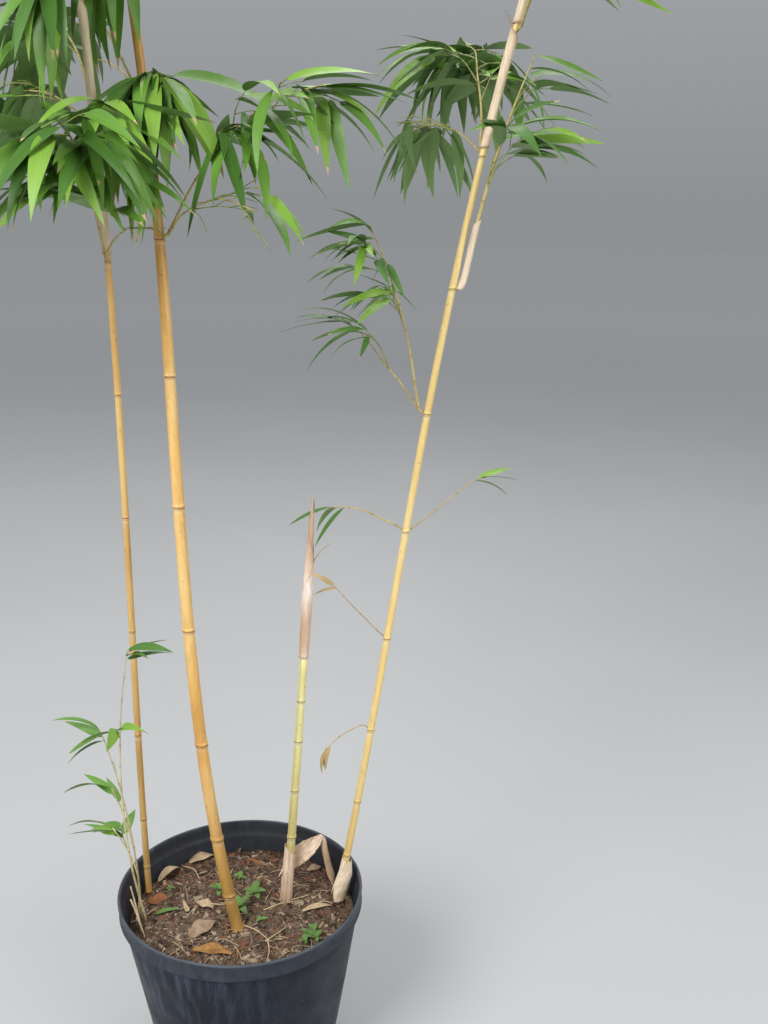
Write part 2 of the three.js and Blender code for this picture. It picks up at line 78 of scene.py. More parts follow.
# Separate solids stay this far apart.
GAP = 0.0003
POT = Spec(
    height=0.370, rim=0.225, foot=0.166, band=0.034, step=0.007,
    wall=0.003, lip=0.005, edge=0.002, bulge=0.05, bulge_toward=172,
)
SOIL = Spec(top=0.310, edge_drop=0.003, clear=0.001)
DRAIN = Spec(holes=8, radius=0.009, ring_share=0.8, deep=0.02, sides=32)

# A culm's middle line is foot + lean h + bend h2 + curl h3, and runs straight on above STRAIGHT_ABOVE. The
# fuller a culm, the higher up it keeps its radius. Its internodes are given by the length of the first, the
# length of the longest, and how many nodes it takes to grow toward that.
STRAIGHT_ABOVE = 1.75
CULMS = [
    {
        "name": "left", "foot": (-0.197, 0.060), "height": 2.150, "radius": 0.0061, "tip": 0.0014,
        "fullness": 3, "lean": (-0.0146, -0.030), "bend": (0.0453, -0.020), "curl": (-0.023, 0),
        "internode": (0.057, 0.218, 1.6),
        "crown": {"from": 1.150, "facing": 200, "fan": 140, "reach": 0.320, "seed": 11},
    },
    {
        "name": "thick", "foot": (-0.007, -0.047), "height": 2.480, "radius": 0.011, "tip": 0.0016,
        "fullness": 2, "lean": (-0.212, 0.020), "bend": (0.189, 0.030), "curl": (-0.069, 0),
        "internode": (0.070, 0.220, 1.6),
        "crown": {"from": 1.200, "facing": 60, "fan": -150, "reach": 0.370, "seed": 23},
    },
    {
        "name": "right", "foot": (0.177, 0.041), "height": 2.330, "radius": 0.0069, "tip": 0.0014,
        "fullness": 3, "lean": (0.188, 0.050), "bend": (-0.063, 0), "curl": (0.0355, 0),
        "internode": (0.099, 0.216, 2.7),
        "crown": {"from": 1.300, "facing": 18, "fan": 170, "reach": 0.330, "seed": 37},
    },
]
SHOOT = {
    "name": "young", "foot": (0.0775, 0.0355), "height": 0.514, "radius": 0.0083, "tip": 0.0074,
    "fullness": 1, "lean": (0.0795, 0.020), "bend": (-0.0154, 0), "curl": (0, 0),
    "internode": (0.060, 0.103, 1.2),
}
SHOOT_TIP = Spec(
    height=0.306, radius=0.0092,
    outline=[
        (0, 0.80), (0.13, 0.95), (0.35, 1), (0.5, 0.9), (0.61, 0.78),
        (0.7, 0.56), (0.8, 0.45), (0.9, 0.33), (1, 0.08),
    ],
)
SHOOT_BLADE = Spec(at=0.52, length=0.074, width=0.009, rise=55)

# The right culm's branches below its crown. A single one has no second stem.
LOW_BRANCHES = table(
    "name node azimuth reach rise arch size radius leaves single",
    ("dry_twig_1", 3, 190, 0.086, -10, 40, 0.3, 0.0012, 4, False),
    ("dry_twig_2", 4, 175, 0.122, 46, 4, 0.34, 0.0013, 2, False),
    ("low_branch_1", 5, 188, 0.130, 30, 30, 0.6, 0.0018, 4, False),
    ("low_branch_2", 6, 176, 0.330, 80, 14, 0.64, 0.0026, 4, False),
    ("side_shoot", 7, 2, 0.380, 78, 9, 0.85, 0.0046, 4, True),
)
# A low branch has twigs only where it reaches further than this.
LONG_LOW_BRANCH = 0.200

SIDE_CULMS = table(
    "foot height lean bend radius seed",
    ((-0.184, -0.031), 0.570, (-0.190, -0.040), (0.340, 0), 0.0023, 51),
    ((-0.194, -0.021), 0.400, (0.024, -0.020), (-0.380, 0), 0.0021, 52),
    ((-0.201, -0.010), 0.270, (0.110, 0.008), (-0.920, 0), 0.0019, 57),
    ((-0.205, 0.006), 0.175, (0.200, 0.020), (-2.500, 0), 0.0017, 54),
)
# What the side culms share, with where their two short twigs sit and how those are turned.
SIDE_CULM = Spec(
    steps=5, leaf_size=0.5, at=(0.52, 0.74), turn=(75, -70), turn_swing=20, rise=45,
    length=0.055, radius=0.0011, leaf_breadth=1.35,
)

# Sheaths and husks
SHEATHS = [("left_1", 0, 7), ("left_2", 0, 8), ("left_3", 0, 9), ("right_1", 2, 8), ("right_2", 2, 9)]
SHEATH = Spec(loose=0.0011, above=0.014, below=0.012, turns=1.16, slant=0.020, dip=0.012)
# The sheath that has peeled off: offsets from behind the young shoot's husk, and its width there.
PEELED_FACE = [
    ((-0.010, 0, 0.006), 0.012), ((-0.004, 0, 0.014), 0.026), ((0.008, 0, 0.028), 0.036),
    ((0.022, 0, 0.044), 0.040), ((0.038, 0.001, 0.058), 0.035), ((0.052, 0.003, 0.070), 0.024),
    ((0.064, 0.004, 0.083), 0.006),
]
PEELED_TAIL = [
    ((0.056, 0.005, 0.078), 0.010), ((0.065, 0.007, 0.072), 0.012), ((0.069, 0.010, 0.045), 0.012),
    ((0.075, 0.015, 0.010), 0.013), ((0.083, 0.021, -0.030), 0.015), ((0.086, 0.023, -0.043), 0.004),
]
HUSK_SHOOT = Spec(
    height=0.132, loose_toward=165, loose=0.0036, tight=0.0007, opening=238, wrap=205,
    foot=0.0015, mouth=0.1165, tilt=0.009,
)
# The right culm's husk is pressed flat: offsets of its left and right edge by share of its height.
HUSK_RIGHT = {
    "height": 0.096, "slant": 0.010, "back": 112,
    "left": [(0, -0.0150), (0.28, -0.0147), (0.66, -0.0092), (1, -0.0078)],
    "right": [(0, 0.0125), (0.3, 0.0160), (0.6, 0.0172), (0.85, 0.0120), (1, 0.0084)],
    "foot": [
        (-1, 0.020), (-0.84, 0.012), (-0.66, 0.016), (-0.55, 0.032), (-0.44, 0.016), (-0.2, 0.001),
        (1, 0.001),
    ],
}

NODE = Spec(neck=0.96, shorten=0.6, flare=1.16, flare_height=0.014, top_clear=0.060)
BRANCH = Spec(
    above=0.008, lead=0.009, radius=0.0026, tip=0.0009, rise=60, arch=46, arch_power=1.3,
    steps=4, wander=14, spread=24, back=0.4, top_clear=0.120, azimuth_swing=20,
)
# The second stem of a branch has shares of the first one's reach and radius, and rises less.
WEAKER = Spec(reach=0.66, radius=0.75, rise=30)
# How much steeper, shorter, smaller and thinner the branches get toward a culm's top.
UPWARD = Spec(rise=14, reach=0.5, size=0.2, radius=0.4)
TWIG = Spec(
    count=2, radius=0.0013, share=0.34, first=0.42, span=0.44, shorten=0.35,
    turn=50, turn_swing=14, drop=16, drop_swing=12, sag=20,
)
TIP_BRANCH = {"reach": 0.240, "rise": 78, "size": 0.8, "radius": 0.0015}
# A leaf's width is a share of its length, and the leaves of a limb are a step apart.
LEAF = Spec(length=0.172, width=0.165, thickness=0.0004, step=0.013, bow=3.6)
SPRAY = Spec(
    stem=4, twig=3, turn=40, turn_swing=16, droop=16, droop_more=46, steepest=-82,
    flattest=40, roll=38, shortest=0.8, longer=0.34, first=0.4,
)
# What the finer growth adds between the coarse twigs, within the same reach.
FINE = Spec(
    twigs=6, fewer=2, first=0.26, span=0.70, shrink=0.9, turn=42, turn_swing=16,
    lift=0.75, lift_swing=24, sag=14, leaves=3, side_at=(0.42, 0.74), side_share=0.55,
    side_turn=46, side_leaves=3, droop=4, droop_more=52, steepest=-74, flattest=30,
    shortest=0.62, longer=0.42, first_key=10, keep_clear=0.004, stray=0.014,
)
# How finely culms and twigs are sampled where things have to stay clear of each other.
KEEP = Spec(culm_samples=24, twig_samples=6)
# A limb's points are spaced evenly, with more about each of its nodes, which swell a little.
LIMB = Spec(
    spacing=0.014, end=0.004, near_node=(-0.0026, -0.0008, 0.0008, 0.003), closest=0.0003,
    swelling=0.32, swelling_wide=0.0016, ring_wide=0.0012, internodes=(0.045, 0.026, 0.018),
    tip_share=0.75, tip=0.0006, path_spacing=0.008,
)
# Short leafy twigs over the culms' fronts, and one to the right, from the first node above a height.
FRONT_SPRAYS = table(
    "culm above azimuth reach rise arch radius size twigs fine leaves seed",
    (1, 1.34, 286, 0.110, 30, 66, 0.0016, 1.15, 1, 2, 4, 71200),
    (1, 1.56, 272, 0.100, 30, 66, 0.0016, 1.0, 1, 0, 4, 71600),
    (0, 1.34, 306, 0.110, 30, 66, 0.0016, 1.05, 1, 2, 4, 72200),
    (2, 0.62, 8, 0.150, 44, 10, 0.0014, 0.45, 0, 2, 3, 73100),
    (0, 1.52, 246, 0.090, 30, 66, 0.0016, 0.9, 1, 0, 4, 72700),
)
# The culms are bare of leaves below these heights.
LEAVES_ABOVE = {"left": 1.550, "thick": 1.530}


# Places on the plant


def chance(*keys):
    """A number from 0 to 1 that depends only on whole keys, so that a finer branch keeps its places."""
    h = 0x9E3779B9
    for key in keys:
        h = ((h ^ ((key + 0x7F4A7C15) & 0xFFFFFFFF)) * 0x85EBCA6B) & 0xFFFFFFFF
        h ^= h >> 13
        h = (h * 0xC2B2AE35) & 0xFFFFFFFF
        h ^= h >> 16
    return h / 4294967296


def swing(amount, *keys):
    return amount * (2 * chance(*keys) - 1)


def heading(azimuth, elevation=0):
    a, e = math.radians(azimuth), math.radians(elevation)
    return np.array((math.cos(a) * math.cos(e), math.sin(a) * math.cos(e), math.sin(e)))


UP = np.array((0, 0, 1.0))


def unit(v):
    return v / max(1e-12, math.sqrt(float(np.dot(v, v))))


def level_across(base, tip):
    """The level direction across a line."""
    return unit(np.cross(UP, tip - base))


def azimuth_of(v):
    return math.degrees(math.atan2(v[1], v[0]))


def elevation_of(v):
    return math.degrees(math.asin(max(-1, min(1, unit(v)[2]))))


def culm_point(culm, height):
    h, above = min(height, STRAIGHT_ABOVE), max(0, height - STRAIGHT_ABOVE)
    lean, bend, curl = (np.array(culm.get(key, (0, 0))) for key in ("lean", "bend", "curl"))
    slope = lean + 2 * bend * h + 3 * curl * h * h
    across = np.array(culm["foot"]) + lean * h + bend * h**2 + curl * h**3 + slope * above
    return np.array((*across, SOIL.top + GAP + height))


def culm_radius(culm, height):
    t = min(1, height / culm["height"])
    return culm["tip"] + (culm["radius"] - culm["tip"]) * (1 - t ** culm["fullness"])


def node_heights(culm):
    first, longest, rate = culm["internode"]
    heights, height, k = [], first, 1
    while height < culm["height"] - NODE.top_clear:
        heights.append(height)
        grown = 1 - (1 - first / longest) * math.exp(-((k / rate) ** 2))
        fade = 1 - NODE.shorten * max(0, 2 * height / culm["height"] - 1)
        height += longest * grown * fade
        k += 1
    return heights


def point_on(points, share):
    at = share * (len(points) - 1)
    i = min(len(points) - 2, int(at))
    return points[i] + (points[i + 1] - points[i]) * (at - i)


def point_back(points, distance):
    """The point at a distance back along a path from its end."""
    for i in range(len(points) - 1, 0, -1):
        long = np.linalg.norm(points[i] - points[i - 1])
        if distance < long:
            return points[i] + (points[i - 1] - points[i]) * distance / long
        distance -= long
    return points[0]


def distances_along(path):
    """How far along a path each of its points is."""
    return np.concatenate(([0], np.cumsum(np.linalg.norm(np.diff(path, axis=0), axis=1))))


def points_at(path, run, places):
    """The points of a path at those distances along it."""
    return np.stack([np.interp(places, run, path[:, i]) for i in range(3)], axis=-1)


def smooth_path(points, spacing):
    """Points at an even spacing along a smooth curve through the given ones."""
    ends = [2 * points[0] - points[1], *points, 2 * points[-1] - points[-2]]
    dense = []
    for a, b, c, d in zip(ends, ends[1:], ends[2:], ends[3:]):
        slope, bend, curl = c - a, 2 * a - 5 * b + 4 * c - d, 3 * (b - c) + d - a
        for t in np.linspace(0, 1, 12, endpoint=False):
            dense.append(0.5 * (2 * b + slope * t + bend * t**2 + curl * t**3))
    dense = np.array([*dense, points[-1]])
    run = distances_along(dense)
    return points_at(dense, run, np.linspace(0, run[-1], max(3, round(run[-1] / spacing) + 1)))


def out_of_round(points):
    """The soft rim is pulled out of round on one side, the more the higher."""
    points = np.array(points, float)
    toward = np.maximum(0, np.cos(np.arctan2(points[:, 1], points[:, 0]) - math.radians(POT.bulge_toward)))
    points[:, :2] *= (1 + POT.bulge * toward**2 * (points[:, 2] / POT.height) ** 2)[:, None]
    return points


# Meshes


class Shape:
    """The points and faces of one piece, with a material for each face and named marks for each point."""

    def __init__(self, *marks):
        self.points, self.faces, self.materials, self.count = [], [], [], 0
        self.marks = {name: [] for name in marks}

    def add(self, points, faces, material=0, **marks):
        points = np.asarray(points, float).reshape(-1, 3)
        first = self.count
        self.faces.extend(tuple(first + i for i in face) for face in faces)
        if isinstance(material, int):
            material = [material] * len(faces)
        self.materials.extend(material)
        self.points.append(points)
        for name, values in self.marks.items():
            values.append(np.broadcast_to(np.asarray(marks.get(name, 0.0), float), (len(points),)))
        self.count += len(points)

    def add_tube(self, path, radii, sides, material=0, **marks):
        self.add(*tube(path, radii, sides), material, **marks)


def mesh_of(name, points, faces):
    mesh = bpy.data.meshes.new(name)
    mesh.from_pydata(points, [], faces)
    return mesh


def put(name, data):
    thing = bpy.data.objects.new(name, data)
    bpy.context.scene.collection.objects.link(thing)
    return thing


def make(name, shape, materials, slot, replaced=(), sharp=None):
    """The piece of that shape. It rides on the plant and stands for the nodes that it replaces."""
    mesh = mesh_of(name, np.concatenate(shape.points).tolist(), shape.faces)
    mesh.polygons.foreach_set("material_index", shape.materials)
    mesh.polygons.foreach_set("use_smooth", [sharp != 0] * len(mesh.polygons))
    for mark, values in shape.marks.items():
        mesh.attributes.new(mark, "FLOAT", "POINT").data.foreach_set("value", np.concatenate(values))
    for material in materials:
        mesh.materials.append(material)
    if sharp:
        mesh.set_sharp_from_angle(angle=math.radians(sharp))
    mesh.validate()
    piece = put(name, mesh)
    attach(piece, "root")
    if replaced:
        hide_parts(*replaced)
    return piece


def circle(sides):
    return np.linspace(0, 2 * math.pi, sides, endpoint=False)


def grid_faces(rows, columns, closed=False):
    """The faces between rows of points, where a closed row ends at its first point."""
    faces = []
    for i in range(rows - 1):
        for j in range(columns if closed else columns - 1):
            after = (j + 1) % columns
            row, above = i * columns, (i + 1) * columns
            faces.append((row + j, row + after, above + after, above + j))
    return faces


def capped_faces(rows, sides):
    """The faces between closed rings of points, with a cap on the first ring and on the last."""
    last = (rows - 1) * sides
    caps = [tuple(range(sides - 1, -1, -1)), tuple(range(last, last + sides))]
    return grid_faces(rows, sides, True) + caps


def tube(path, radii, sides):
    """A closed round tube along a path."""
    path = np.asarray(path)
    along = np.gradient(path, axis=0)
    side = np.array((0, 1.0, 0)) if abs(unit(along[0])[2]) > 0.9 else UP
    angles = circle(sides)
    rings = []
    for p, direction, radius in zip(path, along, np.broadcast_to(radii, (len(path),))):
        direction = unit(direction)
        side = unit(side - direction * np.dot(side, direction))
        over = np.cross(direction, side)
        rings.append(p + radius * (np.cos(angles)[:, None] * side + np.sin(angles)[:, None] * over))
    return np.concatenate(rings), capped_faces(len(path), sides)


def turned(profile, sides):
    """A closed shape from a profile of (radius, height) about +Z that starts and ends on the axis."""
    ring = np.stack([np.cos(circle(sides)), np.sin(circle(sides))], axis=1)
    rows = [np.column_stack([ring * radius, np.full(sides, height)]) for radius, height in profile[1:-1]]
    faces = grid_faces(len(rows), sides, True)
    foot, top = len(rows) * sides, len(rows) * sides + 1
    last = (len(rows) - 1) * sides
    faces += [(foot, (j + 1) % sides, j) for j in range(sides)]
    faces += [(top, last + j, last + (j + 1) % sides) for j in range(sides)]
    ends = [(0, 0, profile[0][1]), (0, 0, profile[-1][1])]
    return np.concatenate([*rows, ends]), faces


# Materials


class Finish:
    """A material with one Principled shader, and short ways to add the nodes that feed it."""

    def __init__(self, name, shine=0.5):
        self.material = bpy.data.materials.new(name)
        self.material.use_nodes = True
        self.tree = self.material.node_tree
        self.shader = self.tree.nodes["Principled BSDF"]
        self.colour = None
        self.set("Specular IOR Level", shine)

    def set(self, socket, value):
        self.feed(self.shader.inputs[socket], value)

    def feed(self, socket, value):
        if isinstance(value, bpy.types.NodeSocket):
            self.tree.links.new(value, socket)
        else:
            socket.default_value = value

    def node(self, kind, inputs=(), **settings):
        made = self.tree.nodes.new(kind)
        for key, value in settings.items():
            setattr(made, key, value)
        for key, value in dict(inputs).items():
            self.feed(made.inputs[key], value)
        return made

    def place(self, stretch=(1, 1, 1)):
        where = self.node("ShaderNodeTexCoord").outputs["Object"]
        return self.node("ShaderNodeMapping", {"Vector": where, "Scale": stretch}).outputs["Vector"]

    def noise(self, scale, detail=3, roughness=0.55, stretch=(1, 1, 1), distortion=0):
        values = {"Vector": self.place(stretch), "Scale": scale, "Detail": detail, "Roughness": roughness}
        return self.node("ShaderNodeTexNoise", {**values, "Distortion": distortion}).outputs["Fac"]

    def cells(self, scale):
        values = {"Vector": self.place(), "Scale": scale}
        return self.node("ShaderNodeTexVoronoi", values).outputs["Distance"]

    def mark(self, name):
        return self.node("ShaderNodeAttribute", attribute_name=name).outputs["Fac"]

    def math(self, operation, *values):
        return self.node("ShaderNodeMath", dict(enumerate(values)), operation=operation).outputs[0]

    def times(self, first, *others):
        for other in others:
            first = self.math("MULTIPLY", first, other)
        return first

    def between(self, value, low, high, to_low=0, to_high=1):
        """Value's share of the way from low to high, held there, between to_low and to_high."""
        values = {"Value": value, "From Min": low, "From Max": high, "To Min": to_low, "To Max": to_high}
        return self.node("ShaderNodeMapRange", values).outputs["Result"]

    def ramp(self, value, *stops):
        made = self.node("ShaderNodeValToRGB", {"Fac": value})
        elements = made.color_ramp.elements
        while len(elements) < len(stops):
            elements.new(0.5)
        for element, (position, colour) in zip(elements, stops):
            element.position = position
            element.color = (*colour, 1)
        return made.outputs["Color"]

    def lay(self, tone, *shares):
        """Lays a tone over the colour so far, by the product of the shares."""
        first, second = ((*c, 1) if isinstance(c, tuple) else c for c in (self.colour, tone))
        values = {0: self.times(*shares), 6: first, 7: second}
        self.colour = self.node("ShaderNodeMix", values, data_type="RGBA").outputs[2]

    def bump(self, height, strength, distance=0.001):
        values = {"Height": height, "Strength": strength, "Distance": distance}
        under = self.shader.inputs["Normal"]
        if under.links:
            values["Normal"] = under.links[0].from_socket
        self.set("Normal", self.node("ShaderNodeBump", values).outputs["Normal"])

    def done(self):
        self.set("Base Color", self.colour)
        return self.material


def pot_plastic():
    """Charcoal plastic: a dusty band, pale streaks down its left side, a painted highlight along the lip and
    a painted shadow under the band.
    """
    m = Finish("pot_plastic", 0.3)
    place = m.node("ShaderNodeSeparateXYZ", {"Vector": m.place()})
    x, height = place.outputs["X"], place.outputs["Z"]
    dark, middle, light = (0.004, 0.006, 0.012), (0.007, 0.010, 0.020), (0.012, 0.018, 0.032)
    m.colour = m.ramp(m.noise(11, 6, 0.62), (0.3, dark), (0.5, middle), (0.7, light))
    streaks = m.between(m.noise(9, 6, 0.66, (7, 7, 0.30)), 0.46, 0.68)
    below = m.between(height, 0.05, 0.335, 0.25, 1)
    m.lay((0.060, 0.082, 0.122), streaks, below, m.between(x, 0.12, -0.10, 0.12, 1), 0.85)
    dust = m.between(m.noise(26, 5, 0.6, (1, 1, 2)), 0.3, 0.66, 0.25, 0.8)
    m.lay((0.042, 0.049, 0.062), m.between(height, 0.336, 0.340), dust)
    # A dark line just under the band's lower edge is painted shadow: the shade that the band casts on the
    # body.
    m.lay((0.003, 0.004, 0.005), m.between(height, 0.3275, 0.3345), m.between(height, 0.3362, 0.3356), 0.8)
    mud = m.between(m.noise(24, 6, 0.7), 0.40, 0.66)
    m.lay((0.09, 0.072, 0.055), m.between(height, 0.09, 0.0), mud, 0.55)
    m.lay((0.13, 0.13, 0.13), m.between(m.noise(150, 3, 0.6), 0.66, 0.74, 0, 0.45))
    m.lay((0.036, 0.038, 0.044), m.mark("inside"), m.between(m.noise(20, 4), 0.3, 0.7, 0.5, 0.9))
    # A pale blue-grey line along the top of the lip is a painted highlight of its rolled edge.
    m.lay((0.085, 0.10, 0.12), m.mark("lip"), m.between(m.noise(30, 4), 0.25, 0.7, 0.35, 0.95))
    m.set("Roughness", m.between(m.noise(18, 5, 0.6), 0.3, 0.75, 0.38, 0.62))
    m.bump(m.noise(420, 2), 0.10, 0.0006)
    m.bump(m.noise(14, 3, 0.5, (1, 1, 0.4)), 0.22, 0.004)
    return m.done()


def soil_crumb():
    """Weathered fibrous compost, grey-brown with redder patches, and damp at the back."""
    m = Finish("soil_crumb", 0.15)
    tones = (0.020, 0.012, 0.008), (0.085, 0.055, 0.037), (0.19, 0.135, 0.095), (0.42, 0.33, 0.24)
    m.colour = m.ramp(m.noise(210, 6, 0.75, distortion=0.8), *zip((0.3, 0.46, 0.58, 0.72), tones))
    m.lay((0.15, 0.065, 0.036), m.between(m.noise(15, 4, 0.6), 0.44, 0.66), 0.6)
    behind = m.node("ShaderNodeSeparateXYZ", {"Vector": m.place()}).outputs["Y"]
    damp = m.between(m.noise(24, 4, 0.6), 0.3, 0.6, 0.25, 0.75)
    m.lay((0.070, 0.034, 0.021), m.between(behind, 0.02, 0.15), damp)
    m.set("Roughness", m.between(m.noise(90, 3), 0.3, 0.7, 0.75, 1.0))
    m.bump(m.noise(260, 6, 0.75, distortion=0.5), 0.9, 0.003)
    m.bump(m.cells(170), 0.5, 0.002)
    return m.done()


def litter(name, dark, light, scale=130, roughness=0.85, stretch=(1, 1, 1)):
    """A dry scrap of bark, straw, leaf or grit in two tones."""
    m = Finish(name, 0.25)
    m.colour = m.ramp(m.noise(scale, 5, 0.65, stretch), (0.3, dark), (0.7, light))
    m.set("Roughness", m.between(m.noise(70, 2), 0.3, 0.7, roughness - 0.12, min(1, roughness + 0.08)))
    m.bump(m.noise(scale * 2.2, 4, 0.6, stretch), 0.45, 0.0012)
    return m.done()


def cane(name, tones, foot_tone, stripe_tone, bloom_tone, roughness=0.36):
    """A polished culm: long fibres, a waxy bloom under each node, a dark scar ring and an older foot."""
    m = Finish(name, 0.5)
    m.set("Coat Weight", 0.18)
    m.set("Coat Roughness", 0.28)
    broad = m.noise(7, 4, 0.6, (2.2, 2.2, 0.45))
    fibres = m.noise(60, 4, 0.6, (7, 7, 0.16))
    m.colour = m.ramp(broad, *zip((0.32, 0.52, 0.7), tones))
    m.lay(tones[0], m.between(fibres, 0.36, 0.7, 0, 0.34))
    m.lay(tones[2], m.between(m.noise(80, 3, 0.5, (6, 6, 0.2)), 0.55, 0.75, 0, 0.3))
    m.lay(stripe_tone, m.mark("stripe"), m.between(fibres, 0.3, 0.6, 0.65, 1))
    m.lay(foot_tone, m.mark("foot"), m.between(m.noise(26, 5, 0.65, (2, 2, 0.7)), 0.28, 0.62, 0.35, 1))
    bloom = m.times(m.mark("bloom"), m.between(m.noise(120, 5, 0.6), 0.3, 0.62, 0.25, 0.8))
    m.lay(bloom_tone, bloom)
    freckles = m.between(m.noise(210, 3, 0.5, (1, 1, 0.5)), 0.66, 0.74, 0, 0.5)
    m.lay((0.16, 0.075, 0.025), freckles)
    smudges = m.between(m.noise(33, 5, 0.7, (1, 1, 0.35)), 0.6, 0.78, 0, 0.35)
    m.lay((0.24, 0.13, 0.05), smudges)
    m.lay((0.13, 0.062, 0.025), m.mark("ring"))
    rough = m.between(broad, 0.3, 0.7, roughness - 0.06, roughness + 0.08)
    m.set("Roughness", m.math("ADD", rough, m.times(bloom, 0.35)))
    m.bump(fibres, 0.16, 0.0006)
    m.bump(m.noise(300, 2, 0.5, (1, 1, 0.25)), 0.06, 0.0005)
    return m.done()


def papery(name, tones, dark, specks, roughness=0.62):
    """A dry culm sheath: fine veins along it, blushed and pale patches, and brown specks."""
    m = Finish(name, 0.3)

    def on_sheet(scale, detail, drawn):
        places = {"X": m.mark("across"), "Y": m.times(m.mark("along"), drawn)}
        vector = m.node("ShaderNodeCombineXYZ", places).outputs["Vector"]
        values = {"Vector": vector, "Scale": scale, "Detail": detail, "Roughness": 0.6}
        return m.node("ShaderNodeTexNoise", values).outputs["Fac"]

    veins = on_sheet(430, 3, 0.04)
    m.colour = m.ramp(m.noise(14, 4, 0.6, (2, 2, 0.6)), *zip((0.32, 0.5, 0.66), tones))
    m.lay(tones[2], m.mark("pale"))
    m.lay(dark, m.mark("dark"))
    m.lay(tones[0], m.between(veins, 0.44, 0.62, 0, 0.7))
    m.lay(dark, m.between(on_sheet(330, 5, 0.22), 0.60, 0.68, 0, specks))
    m.lay((0.26, 0.17, 0.10), m.mark("edge"))
    m.set("Roughness", m.between(veins, 0.3, 0.7, roughness - 0.1, roughness + 0.12))
    m.bump(veins, 0.5, 0.0008)
    m.bump(m.noise(60, 3, 0.5, (1, 1, 0.4)), 0.25, 0.002)
    return m.done()


def green_leaf(name, tone, vein_tone, roughness=0.42, veins=26):
    """A leaf blade in one tone, with long fine veins and a paler midrib."""
    m = Finish(name, 0.42)
    across = m.mark("across")
    lines = m.between(m.math("SINE", m.times(across, veins)), -1, 1)
    m.colour = tone
    m.lay(vein_tone, m.between(m.noise(16, 3), 0.3, 0.7), 0.45)
    m.lay(vein_tone, lines, 0.34)
    m.lay(vein_tone, m.between(m.math("ABSOLUTE", across), 0.0, 0.13, 1, 0), 0.6)
    m.set("Roughness", m.between(m.noise(45, 3), 0.3, 0.7, roughness - 0.06, roughness + 0.1))
    m.bump(lines, 0.2, 0.0005)
    return m.done()


def twig_bark(name, dark, light):
    m = Finish(name, 0.4)
    m.colour = m.ramp(m.noise(38, 4, 0.6, (1, 1, 0.4)), (0.34, dark), (0.64, light))
    m.lay((0.20, 0.12, 0.05), m.mark("ring"), 0.7)
    m.set("Roughness", m.between(m.noise(90, 2), 0.3, 0.7, 0.42, 0.62))
    m.bump(m.noise(260, 3, 0.6, (1, 1, 0.3)), 0.15, 0.0005)
    return m.done()


def floor_plain():
    m = Finish("floor_plain", 0.15)
    m.set("Roughness", 0.85)
    m.colour = m.ramp(m.noise(0.6, 2), (0.3, (0.47, 0.475, 0.475)), (0.7, (0.50, 0.505, 0.505)))
    away = m.node("ShaderNodeVectorMath", {0: m.place()}, operation="LENGTH").outputs["Value"]
    m.lay((0.60, 0.60, 0.60), m.between(away, 2.5, 14))
    return m.done()


# Scene: camera, light and floor


def set_camera():
    down, roll = math.radians(CAMERA.down), math.radians(CAMERA.roll)
    ahead = Vector((0, math.cos(down), -math.sin(down)))
    level, up = Vector((1, 0, 0)), Vector((0, math.sin(down), math.cos(down)))
    right = level * math.cos(roll) + up * math.sin(roll)
    above = up * math.cos(roll) - level * math.sin(roll)
    data = bpy.data.cameras.new("camera")
    data.sensor_width = FILM
    data.lens = CAMERA.focal / CAMERA.long_side * FILM
    camera = put("camera", data)
    turn = Matrix((right, above, -ahead)).transposed().to_4x4()
    camera.matrix_world = Matrix.Translation(CAMERA.place) @ turn
    bpy.context.scene.camera = camera


LIGHTS = table(
    "name at to size power",
    ("key", (-2.2, -3.0, 4.0), (0, 0, 1.1), 2.2, 215),
    ("fill", (3.2, -2.2, 2.4), (0, 0, 1.0), 2.6, 70),
    ("top", (0.4, 2.4, 5.0), (0, 0, 1.6), 3.0, 110),
)
SKY = Spec(level=(0.493, 0.516, 0.532, 1), above=(0.85, 0.88, 0.92, 1), rise=0.5, strength=0.55)
FLOOR = Spec(radius=40.0, sides=96)


def set_light():
    for spec in LIGHTS:
        data = bpy.data.lights.new(spec["name"], "AREA")
        data.energy, data.size = spec["power"], spec["size"]
        light = put(spec["name"], data)
        light.location = spec["at"]
        light.rotation_euler = (Vector(spec["to"]) - Vector(spec["at"])).to_track_quat("-Z", "Y").to_euler()
    world = bpy.data.worlds.new("studio")
    world.use_nodes = True
    tree = world.node_tree
    place = tree.nodes.new("ShaderNodeTexCoord")
    height = tree.nodes.new("ShaderNodeSeparateXYZ")
    tree.links.new(place.outputs["Generated"], height.inputs["Vector"])
    sky = tree.nodes.new("ShaderNodeValToRGB")
    level, above = sky.color_ramp.elements
    level.color, above.color, above.position = SKY.level, SKY.above, SKY.rise
    tree.links.new(height.outputs["Z"], sky.inputs["Fac"])
    back = tree.nodes["Background"]
    tree.links.new(sky.outputs["Color"], back.inputs["Color"])
    back.inputs["Strength"].default_value = SKY.strength
    bpy.context.scene.world = world
    bpy.context.scene.view_settings.view_transform = "Standard"


def set_floor():
    wide, sides = FLOOR.radius, FLOOR.sides
    ring = [(wide * math.cos(a), wide * math.sin(a), 0) for a in circle(sides)]
    mesh = mesh_of("floor", ring, [tuple(range(sides))])
    mesh.materials.append(floor_plain())
    put("floor", mesh)


# Pot


# How finely the pot is divided round it and up its side.
POT_SIDES = 180
SIDE_ROWS = 14


